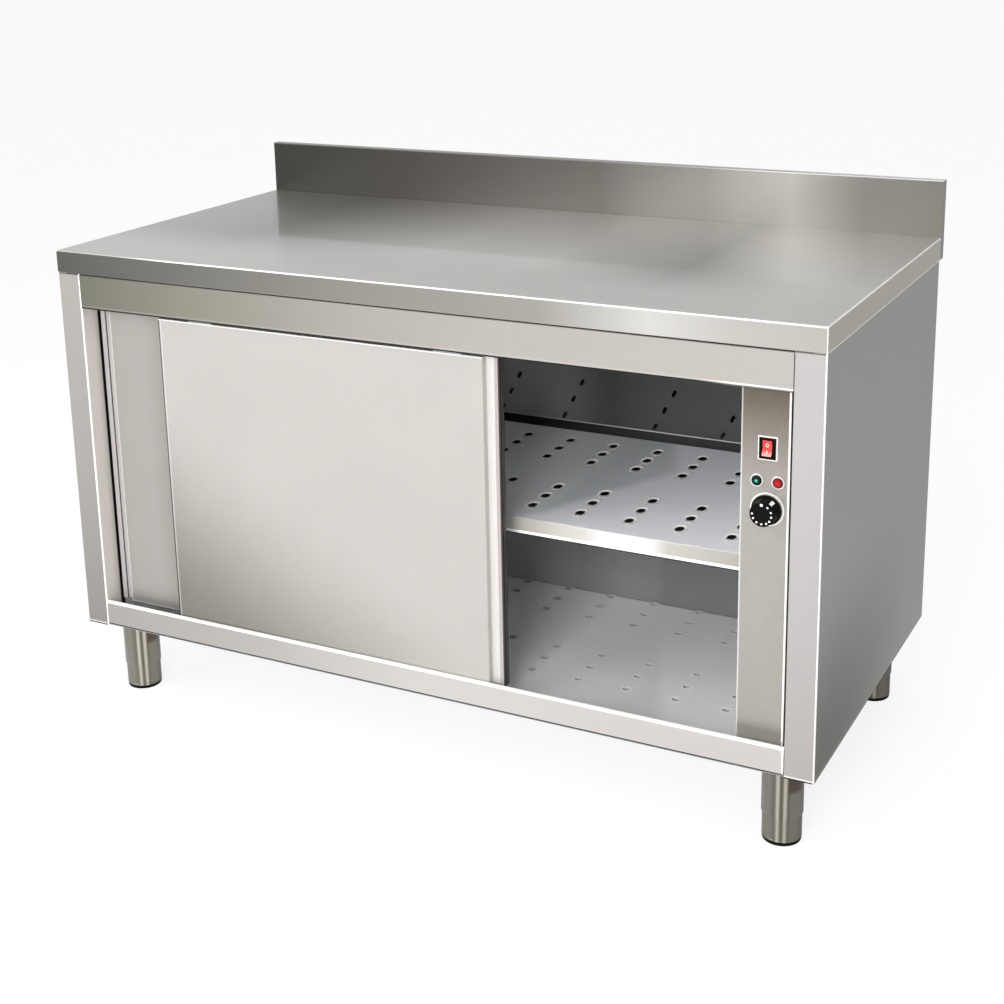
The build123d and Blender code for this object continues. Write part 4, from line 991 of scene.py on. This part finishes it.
# ---- legs and feet
def leg_finish(name, steel, contrast):
    """Polished tube steel: painted reflections in upright stripes round the tube, read from its own map,
    painted shade high on one side, and faint rings.
    """
    finish = Finish(name, Metallic=0.9)
    around = finish.add("ShaderNodeUVMap", {"uv_map": "Around"})
    turn = finish.add("ShaderNodeSeparateXYZ", None, {0: around})
    # Painted reflections: levels of light and dark at turns round the tube.
    reflection_bands = (
        (0.0, 70), (0.062, 34), (0.084, 52), (0.12, 138), (0.2, 150), (0.252, 124), (0.268, 214), (0.28, 214),
        (0.294, 118), (0.311, 116), (0.324, 206), (0.337, 206), (0.352, 112), (0.38, 134), (0.44, 134),
        (0.488, 96), (0.506, 16), (0.56, 14), (0.59, 104), (0.66, 190), (0.72, 96), (0.82, 150), (0.93, 84),
    )
    stops = [(at, paint(level, level * 0.975, level * 0.9)) for at, level in reflection_bands]
    ramp = finish.add("ShaderNodeValToRGB", {"stops": stops}, {"Fac": turn})
    rings, clouds = finish.noise((20, 20, 900), 3.0), finish.noise((24, 24, 9), 3.0)
    # Painted shade high up on one side of the tube.
    shaded = step(finish.z, 0.088, 0.098) * step(turn, 0.35, 0.362) * step(turn, 0.56, 0.52)
    plain = mix(shaded * 0.75, mix(contrast, steel, ramp), paint(78, 60, 52))
    finish.colour(tint(plain, 1 + (rings - 0.5) * 0.12 + (clouds - 0.5) * 0.25))
    finish.roughness(0.22 + (clouds - 0.5) * 0.12)
    finish.bump(rings, 0.00003)
    return finish


def banded_tube(profile, centre, camera, closed=False):
    """A tube whose map is turned so that its painted reflections face the camera: the turn is the camera's
    heading from the tube over a full turn, taken from the place of the painted reflections, and each face's
    map stays between 0 and 1."""
    points, faces, around = lathe(profile, (centre[0], centre[1], 0), (0, 0, 1), closed=closed)
    heading = math.atan2(camera[1] - centre[1], camera[0] - centre[0])
    around = around.reshape(-1, 4, 2).copy()
    around[..., 0] += LEG_FRONT - heading / (2 * math.pi)
    around[..., 0] -= np.floor(around[..., 0].min(1) + 1e-6)[:, None]
    return points, faces, around.reshape(-1, 2)


def leg_profile(sizes, radius, foot, top):
    """Section of a leg tube: its wall, the threaded bush in it and the plate that closes its top."""
    bore, hole = radius - sizes.leg_wall, sizes.spindle_radius + SPINDLE_GAP
    bush, bush_top = sizes.leg_bush, sizes.leg_bush + sizes.leg_bush_thickness
    return [
        (radius, top), (radius, foot + 0.0006), (radius - 0.0003, foot + 0.0001), (radius - 0.0006, foot),
        (bore + 0.0003, foot), (bore, foot + 0.0004), (bore, bush), (hole, bush), (hole, bush_top),
        (bore, bush_top), (bore, top - LEG_PLUG), (LEG_PLUG_HOLE, top - LEG_PLUG), (LEG_PLUG_HOLE, top),
    ]


def foot_profile(sizes, radius, end):
    """Section of a foot's steel: its rolled rim, its sleeve and the spindle up the middle."""
    pad, rim, top = sizes.foot_pad, sizes.foot_pad + sizes.foot_rim, sizes.leg_bush - 0.0003
    spindle = sizes.spindle_radius
    return [
        (0.0, pad), (radius - 0.003, pad), (radius - 0.0006, pad), (radius, pad + 0.0007), (radius, rim),
        (radius - 0.0004, rim + 0.0004), (radius - 0.0004, rim + 0.001), (radius, rim + 0.0014),
        (radius, top), (radius - SLEEVE_WALL, top), (radius - SLEEVE_WALL, SOLE_TOP), (spindle, SOLE_TOP),
        (spindle, end - 0.001), (spindle - 0.001, end), (0.0, end),
    ]


def pad_profile(sizes, radius, foot):
    """Section of a foot's black pad."""
    pad = sizes.foot_pad
    return [
        (0.0, foot), (radius - 0.0022, foot), (radius - 0.001, foot + 0.0005),
        (radius - 0.0006, foot + 0.0016), (radius - 0.0004, pad - 0.0004), (radius - 0.0012, pad), (0.0, pad),
    ]


class CABINET_OT_make_legs(bpy.types.Operator):
    """Make the four leg tubes"""

    bl_idname = "cabinet.make_legs"
    bl_label = "Legs"

    def execute(self, context):
        sizes, camera = context.scene.cabinet_sizes, context.scene.cabinet_stage.camera_place
        low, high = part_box("leg_tubes")
        places = [middle(foot)[0] for foot in FEET]
        radius = high.x - max(place[0] for place in places)
        profile = leg_profile(sizes, radius, low.z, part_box("right_side_panel")[0].z)
        tubes = [banded_tube(profile, place, camera, True) for place in places]
        finish = leg_finish("leg_polish", paint(150, 147, 134), 1.0)
        publish("leg_sleeves", tubes, "cabinet", finish, ("leg_tubes",))
        return {"FINISHED"}


class CABINET_OT_make_feet(bpy.types.Operator):
    """Make the four screw feet, each a sleeve with a rolled rim over a black pad"""

    bl_idname = "cabinet.make_feet"
    bl_label = "Feet"

    def execute(self, context):
        sizes, camera = context.scene.cabinet_sizes, context.scene.cabinet_stage.camera_place
        steel = leg_finish("foot_polish", paint(146, 142, 128), 0.86)
        rubber = moulded("foot_rubber", context.scene.cabinet_colours.black, 0.5, 0.0, 0.0001)
        for name in FEET:
            low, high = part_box(name)
            centre, half = middle(name)
            sleeve = banded_tube(foot_profile(sizes, half[0], high.z), centre, camera)
            publish(f"{name}_sleeve", [sleeve], name, steel, (name,))
            pad = lathe(pad_profile(sizes, half[0], low.z), centre * (1, 1, 0), (0, 0, 1))
            publish(f"{name}_pad", [pad], name, rubber)
        return {"FINISHED"}


# ---- thermostat knob
def knob_places():
    """Middle of the knob on its axis, its skirt's radius, and the places of its face and its back."""
    centre, half = middle("thermostat_knob")
    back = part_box("control_panel")[0].y - KNOB_SEAT
    return centre * (1, 0, 1), half[0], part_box("thermostat_knob")[0].y, back


def knob_profile(sizes):
    """Section of the knob from its shaft over the skirt and the flank to the dished face."""
    _, skirt_radius, face, back = knob_places()
    end, seat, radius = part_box("thermostat_knob")[1].y, back - sizes.knob_skirt, sizes.knob_radius
    return [
        (0.0, end), (SHAFT_RADIUS, end), (SHAFT_RADIUS, back), (skirt_radius - 0.0006, back),
        (skirt_radius, back - 0.0005), (skirt_radius, back - 0.0012), (skirt_radius - 0.0014, seat),
        (radius + 0.0014, seat - 0.0004), (radius + 0.0008, seat - 0.0012), (radius, face + 0.0014),
        (radius - 0.0005, face + 0.0004), (radius - 0.0014, face), (radius - 0.0022, face + 0.0002),
        (radius - 0.0046, face + 0.0009), (radius - 0.0066, face + 0.0009), (0.0052, face + 0.0007),
        (0.0048, face + 0.0003), (0.0, face + 0.0002),
    ]


def knob_plastic(sizes, colours):
    """Black plastic, with a painted highlight along the skirt's edge, and a white patch on the flank between
    two angles that is a pointer mark and a painted highlight.
    """
    centre, skirt_radius, face, back = knob_places()
    gloss = {"Roughness": 0.34, "Coat_Weight": 0.03, "Coat_Roughness": 0.12, "Specular_IOR_Level": 0.12}
    finish = Finish("knob_plastic", **gloss)
    away, up, radius = finish.away(centre), finish.z - centre[2], sizes.knob_radius
    # Painted highlight along the skirt's edge.
    skirt_highlight = step(away, skirt_radius - 0.0014, skirt_radius - 0.0006)
    skirt_highlight = skirt_highlight * step(finish.y, back - 0.0024, back - 0.0014) * 0.8
    flank = line(finish.y, face + 0.005, back - sizes.knob_skirt - 0.002, 0.0006)
    flank = flank * step(away, radius - 0.002, radius - 0.001)
    # A white patch on the flank: a pointer mark that is also a painted highlight.
    mark_and_highlight = flank * line(up.maths("ARCTAN2", up, finish.x - centre[0]), 0.8, 1.05, 0.03)
    plain = tint(colours.black, 0.8 + finish.noise(900) * 0.4)
    plain = mix(skirt_highlight, plain, paint(226, 224, 218))
    finish.colour(mix(mark_and_highlight, plain, colours.white))
    return finish


def knob_dots(sizes):
    """Raised dots in a ring round the knob's face, each a low dome turned about its own middle."""
    centre, _, face, _ = knob_places()
    dome = ((0.0, -0.0011), (0.8, -0.0011), (1.0, -0.0007), (0.92, -0.00015), (0.5, 0.0), (0.0, 0.0001))
    dots = []
    for degrees in DOT_TURNS:
        turn = math.radians(degrees)
        place = centre + sizes.mark_ring * np.array((math.cos(turn), 0, math.sin(turn)))
        size = sizes.mark_radius * (LAST_DOT if degrees == DOT_TURNS[-1] else 1.0)
        dots.append(lathe([(r * size, h - face) for r, h in dome], place, (0, -1, 0), DOT_STEPS))
    return dots


class CABINET_OT_make_knob(bpy.types.Operator):
    """Make the thermostat knob with its ring of white dots"""

    bl_idname = "cabinet.make_knob"
    bl_label = "Knob"

    def execute(self, context):
        sizes, colours = context.scene.cabinet_sizes, context.scene.cabinet_colours
        body = lathe([(r, -y) for r, y in knob_profile(sizes)], knob_places()[0], (0, -1, 0))
        plastic = knob_plastic(sizes, colours)
        publish("knob_body", [body], "thermostat_knob", plastic, ("thermostat_knob",))
        white = moulded("mark_plastic", colours.white, 0.35, 0.0, 0.00001)
        publish("knob_marks", knob_dots(sizes), "thermostat_knob", white)
        return {"FINISHED"}


# ---- rocker
def on_rocker(x, flat_y, flat_z):
    """Turns points of the rocker's own section about its pivot: y = c*v - s*w and z = s*v + c*w."""
    pivot = next(joint["pos_m"] for joint in frame["joints"] if joint["name"] == "rocker_tilt")
    c, s = math.cos(math.radians(ROCKER_TILT)), math.sin(math.radians(ROCKER_TILT))
    y, z = pivot[1] + flat_y * c - flat_z * s, pivot[2] + flat_y * s + flat_z * c
    return np.stack([pivot[0] + x + 0 * y, y, z], -1)


def rocker_shell(sizes):
    """The rocker's section, a shallow valley between two tips, carried across and drawn in at both ends."""
    half_width, half_height = sizes.rocker_width / 2, sizes.rocker_height / 2
    tip, foot = (ROCKER_TIP, half_height), (ROCKER_BACK, half_height * 0.66)
    outline = rounded([tip, (ROCKER_VALLEY, 0), (tip[0], -tip[1]), (foot[0], -foot[1]), foot], 0.001)
    across = np.array((-1, -0.98, -0.93, 0.93, 0.98, 1)) * half_width
    inset = np.array((0.94, 0.975, 1, 1, 0.975, 0.94))
    core = outline.mean(0)
    section = core + (outline - core) * inset[:, None, None]
    points = on_rocker(across[:, None], section[..., 0], section[..., 1])
    pole = np.broadcast_to(core, (2, len(outline), 2))
    end = on_rocker(across[[0, -1]][:, None], pole[..., 0], pole[..., 1])
    points = np.concatenate([end[:1], points, end[1:]]).reshape(-1, 3)
    return points, quads(len(across) + 2, len(outline), False, True)


def rocker_plastic(sizes, colours):
    """Red plastic, with a painted highlight that makes the rocker's lower half paler."""
    finish = Finish("rocker_plastic", Roughness=0.24, Coat_Weight=0.5, Coat_Roughness=0.08)
    pivot = on_rocker(0, 0, 0)
    # Painted highlight on the lower half.
    lower = step(finish.z, pivot[2] - 0.002, pivot[2] - sizes.rocker_height * 0.4)
    red = mix(lower * 0.6, colours.red, paint(255, 186, 178))
    finish.colour(tint(red, 1 + (finish.noise(200) - 0.5) * 0.2))
    return finish


def rocker_marks(sizes):
    """A ring on the upper half and a bar on the lower half, each a thin half-sunk stroke. The ring is a ring
    of circles. The bar's stroke swells as the root of 1 - s^6, where s runs from -1 to 1 along it."""
    slope = (ROCKER_VALLEY - ROCKER_TIP) / (sizes.rocker_height / 2)
    ring_turn = np.linspace(0, 2 * np.pi, RING_MARK_STEPS, endpoint=False)[:, None]
    turn = np.linspace(0, 2 * np.pi, MARK_STEPS, endpoint=False)[None, :]
    out = 0.0021 + 0.00045 * np.cos(turn)
    ring_z = 0.0045 + out * np.sin(ring_turn) * 1.15
    ring_y = ROCKER_VALLEY - slope * ring_z - 0.0002 * np.sin(turn)
    ring = on_rocker(out * np.cos(ring_turn), ring_y, ring_z)
    bar_z = np.linspace(-0.0082, -0.0035, BAR_ROWS)[:, None]
    swell = np.sqrt(np.clip(1 - ((bar_z + 0.00585) / 0.00245) ** 6, 0, 1))
    bar_y = ROCKER_VALLEY + slope * bar_z - 0.0002 * np.sin(turn) * swell
    bar = on_rocker(0.0007 * swell * np.cos(turn), bar_y, bar_z + 0 * bar_y)
    return [
        (ring.reshape(-1, 3), quads(RING_MARK_STEPS, MARK_STEPS, True, True)),
        (bar.reshape(-1, 3), quads(BAR_ROWS, MARK_STEPS, False, True)),
    ]


class CABINET_OT_make_rocker(bpy.types.Operator):
    """Make the switch's red rocker and its on and off marks"""

    bl_idname = "cabinet.make_rocker"
    bl_label = "Rocker"

    def execute(self, context):
        sizes, colours = context.scene.cabinet_sizes, context.scene.cabinet_colours
        red = rocker_plastic(sizes, colours)
        publish("rocker_body", [rocker_shell(sizes)], "rocker", red, ("rocker",), 50)
        white = moulded("rocker_mark", colours.white, 0.35, 0.0, 0.00001)
        publish("rocker_marks", rocker_marks(sizes), "rocker", white)
        return {"FINISHED"}


# ---- slot rims
def slot_places(sizes, first):
    """Middles of the slots: columns leftwards from the shelf's right edge, two groups of rows backwards."""
    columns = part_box("shelf")[1].x - sizes.slot_margin_x - sizes.slot_pitch_x * np.arange(SLOT_COLUMNS)
    group, row = np.divmod(np.arange(2 * GROUP_ROWS), GROUP_ROWS)
    rows = first + row * sizes.slot_pitch_y + group * (GROUP_ROWS * sizes.slot_pitch_y + sizes.slot_group_gap)
    places = np.stack(np.meshgrid(columns, rows, indexing="ij"), -1).reshape(-1, 2)
    return np.column_stack([places, np.zeros(len(places))])


def slot_rim(sizes, top, spread):
    """One rim about its slot's middle: rings of the slot's outline, each grown by one amount across and by
    another deep, and set at a height. The outline is a circle whose halves stand apart along x."""
    turn = (np.arange(RIM_POINTS) + 0.5) / RIM_POINTS * 2 * np.pi
    edge = np.stack([np.cos(turn), np.sin(turn)], -1)
    straight = (sizes.slot_length - sizes.slot_width) / 2
    spine = np.stack([np.sign(edge[:, 0]) * straight, np.zeros(RIM_POINTS)], -1)
    drop, side, height = sizes.collar, sizes.rim_width * spread, sizes.rim_height * spread
    dimple = sizes.dimple_deep * (spread - 0.3)
    far = dimple + side * 2.6
    lips = np.array((
        (-0.0003, -0.0003, -0.0002), (-0.0003, -0.0003, -drop), (-0.0016, -0.0016, -drop),
        (-0.0016, -0.0016, 0.0002), (-0.0012, dimple, 0.0002), (-0.0008, dimple + 0.0006, height),
        (side, far, height), (side, far, -0.0001),
    ))[:, None]
    flat = spine + edge * (sizes.slot_width / 2 + lips[..., :2])
    return np.concatenate([flat, np.broadcast_to(top + lips[..., 2:], (*flat.shape[:2], 1))], -1)


def rim_steel(name, colour, inside, top, height):
    """Steel of a rim's top, and a painted shade for what is lower: the dimple and the collar in the slot."""
    finish, level = brushed(name, "X", 0.3, 0.05, 0.02)
    crest = top + height * 0.8
    # Above the crest the given colour, below it the painted shade.
    finish.colour(mix(step(finish.z, crest, crest - 0.0003), tint(colour, level), inside))
    return finish


class CABINET_OT_make_slot_rims(bpy.types.Operator):
    """Make the pressed rims round the slots of the shelf and the floor, with their dimples and collars"""

    bl_idname = "cabinet.make_slot_rims"
    bl_label = "Slot rims"

    def execute(self, context):
        sizes, bright = context.scene.cabinet_sizes, context.scene.cabinet_colours.fold
        shelf_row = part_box("shelf")[0].y + sizes.shelf_margin_y
        floor_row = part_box("bottom_rail")[0].y + sizes.floor_margin_y
        # The shelf's rims have the painted highlight colour on top over near black painted shade; the floor's
        # have its grey over a darker grey painted shade.
        for name, body, slot, node, first, colour, inside, spread in (
            ("shelf_slot_rims", "shelf", "shelf_steel", "shelf", shelf_row, bright, 8, 1.0),
            ("floor_slot_rims", "cabinet", "liner_steel", "slotted_floor", floor_row, paint(228), 176, 0.3),
        ):
            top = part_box(node)[1].z
            rim, places = slot_rim(sizes, top, spread), slot_places(sizes, first)
            points = (places[:, None, None] + rim).reshape(-1, 3)
            starts = np.arange(len(places))[:, None, None] * (len(rim) * RIM_POINTS)
            faces = (starts + quads(len(rim), RIM_POINTS, True, True)).reshape(-1, 4)
            finish = rim_steel(name, colour, paint(inside), top, sizes.rim_height * spread)
            publish(name, [(points, faces)], body, finish, (), 70)
        return {"FINISHED"}


# ---- stage
def room_level(nodes, direction, stage):
    """Light of the room in a direction: a middle level, a slope towards the front left and one upwards."""
    sockets = {0: direction, 1: LIGHT_SIDE}
    toward = nodes.add("ShaderNodeVectorMath", {"operation": "DOT_PRODUCT"}, sockets, "Value")
    height = nodes.add("ShaderNodeSeparateXYZ", None, {0: direction}).other("Z")
    return stage.room + toward * stage.room_slope + height * stage.room_rise


def make_world(scene, stage):
    """White for the camera, an even sky for matt surfaces and the room's slope of light for polished ones."""
    world = bpy.data.worlds.new("room")
    scene.world = world
    world.use_nodes = True
    nodes = Nodes(world.node_tree)
    path = nodes.add("ShaderNodeLightPath", output="Is Camera Ray")
    mirrored = path.other("Is Glossy Ray") + path.other("Is Transmission Ray")
    seen = room_level(nodes, nodes.add("ShaderNodeTexCoord", output="Generated"), stage)
    plain = stage.sky + (seen - stage.sky) * mirrored
    background = world.node_tree.nodes["Background"]
    nodes.feed(background.inputs["Strength"], plain + (1 - plain) * path)
    nodes.feed(background.inputs["Color"], (1, 1, 1))


def floor_paper(stage):
    """White paper that glows for the camera and, in polished surfaces, shows the room's slope of light."""
    finish = Finish("floor_paper", Roughness=0.9)
    finish.colour(paint(226))
    path = finish.add("ShaderNodeLightPath", output="Is Camera Ray")
    direction = finish.add("ShaderNodeVectorMath", {"operation": "NORMALIZE"}, {0: finish.point})
    seen = room_level(finish, direction, stage)
    strength = seen + (stage.backdrop - seen) * path
    glow = finish.add("ShaderNodeEmission", None, {"Color": (1, 1, 1), "Strength": strength})
    share = path * GLOW_SEEN + path.other("Is Glossy Ray") * GLOW_MIRRORED
    paper = Value(finish, finish.shader.outputs[0])
    mixed = finish.add("ShaderNodeMixShader", None, {0: share, 1: paper, 2: glow})
    finish.feed(finish.tree.nodes["Material Output"].inputs["Surface"], mixed)
    return finish


def make_floor(scene, stage):
    """A large square that the object stands on."""
    mesh = bpy.data.meshes.new("floor")
    corners = [(x * FLOOR_REACH, y * FLOOR_REACH, 0) for x, y in ((-1, -1), (1, -1), (1, 1), (-1, 1))]
    mesh.from_pydata(corners, [], [(0, 1, 2, 3)])
    floor = bpy.data.objects.new("floor", mesh)
    scene.collection.objects.link(floor)
    mesh.materials.append(floor_paper(stage).material)
    floor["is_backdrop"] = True


def make_lights(scene, stage):
    """Square lights, each turned towards its target. The front one isn't seen in polished surfaces."""
    for name, place, target, size, power in (
        ("key_light", (-2.4, -3.4, 3.2), (0, 0, 0.5), 2.6, stage.key),
        ("top_light", (0.6, -0.6, 3.6), (0, 0, 0.5), 3.0, stage.fill),
        ("front_light", (0.7, -3.5, 1.5), (0.36, 0, 0.4), 1.4, stage.front),
    ):
        lamp = bpy.data.lights.new(name, "AREA")
        lamp.shape, lamp.size, lamp.energy = "SQUARE", size, power
        light = bpy.data.objects.new(name, lamp)
        light.location, light.visible_glossy = place, name != "front_light"
        light.rotation_euler = (Vector(place) - Vector(target)).to_track_quat("Z", "Y").to_euler()
        scene.collection.objects.link(light)


def make_camera(scene, stage):
    """A camera at its place, turned by its heading, its tilt and its roll."""
    camera = bpy.data.cameras.new("camera")
    camera.sensor_width, camera.lens, camera.shift_y = SENSOR_WIDTH, stage.lens, stage.rise
    camera.clip_end = CLIP_END
    viewer = bpy.data.objects.new("camera", camera)
    tilt, roll, heading = stage.camera_turn
    turn = Matrix.Rotation(heading, 4, "Z") @ Matrix.Rotation(tilt, 4, "X") @ Matrix.Rotation(roll, 4, "Z")
    viewer.matrix_world = Matrix.Translation(stage.camera_place) @ turn
    scene.collection.objects.link(viewer)
    scene.camera = viewer


class CABINET_OT_make_stage(bpy.types.Operator):
    """Set up the floor, the lights, the world and the camera"""

    bl_idname = "cabinet.make_stage"
    bl_label = "Stage"

    def execute(self, context):
        scene = context.scene
        scene.view_settings.view_transform = "Standard"
        for make in (make_world, make_floor, make_lights, make_camera):
            make(scene, scene.cabinet_stage)
        return {"FINISHED"}


class CABINET_PT_pieces(bpy.types.Panel):
    """Lists the pieces, their sizes and colours"""

    bl_idname = "CABINET_PT_pieces"
    bl_label = "Plate warmer cabinet"
    bl_space_type = "VIEW_3D"
    bl_region_type = "UI"
    bl_category = "Cabinet"

    def draw(self, context):
        for operator in OPERATORS:
            self.layout.operator(operator.bl_idname)
        scene = context.scene
        for group in (scene.cabinet_sizes, scene.cabinet_colours, scene.cabinet_stage):
            box = self.layout.box()
            for name in group.__annotations__:
                box.prop(group, name)


OPERATORS = (
    CABINET_OT_dress_worktop,
    CABINET_OT_dress_case,
    CABINET_OT_dress_doors,
    CABINET_OT_dress_chamber,
    CABINET_OT_dress_controls,
    CABINET_OT_dress_heater,
    CABINET_OT_make_legs,
    CABINET_OT_make_feet,
    CABINET_OT_make_knob,
    CABINET_OT_make_rocker,
    CABINET_OT_make_slot_rims,
    CABINET_OT_make_stage,
)
GROUPS = (CabinetSizes, CabinetColours, CabinetStage)


def register():
    for kind in (*GROUPS, *OPERATORS, CABINET_PT_pieces):
        bpy.utils.register_class(kind)
    bpy.types.Scene.cabinet_sizes = bpy.props.PointerProperty(type=CabinetSizes)
    bpy.types.Scene.cabinet_colours = bpy.props.PointerProperty(type=CabinetColours)
    bpy.types.Scene.cabinet_stage = bpy.props.PointerProperty(type=CabinetStage)


def unregister():
    del bpy.types.Scene.cabinet_stage, bpy.types.Scene.cabinet_colours, bpy.types.Scene.cabinet_sizes
    for kind in reversed((*GROUPS, *OPERATORS, CABINET_PT_pieces)):
        bpy.utils.unregister_class(kind)


def main():
    register()
    bpy.ops.cabinet.dress_worktop()
    bpy.ops.cabinet.dress_case()
    bpy.ops.cabinet.dress_doors()
    bpy.ops.cabinet.dress_chamber()
    bpy.ops.cabinet.dress_controls()
    bpy.ops.cabinet.dress_heater()
    bpy.ops.cabinet.make_legs()
    bpy.ops.cabinet.make_feet()
    bpy.ops.cabinet.make_knob()
    bpy.ops.cabinet.make_rocker()
    bpy.ops.cabinet.make_slot_rims()
    bpy.ops.cabinet.make_stage()
    boxes = {"cad": CAD_BOX, "visual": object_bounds()}
    boxes = {name: [list(corner) for corner in box] for name, box in boxes.items()}


if __name__ == "__main__":
    main()
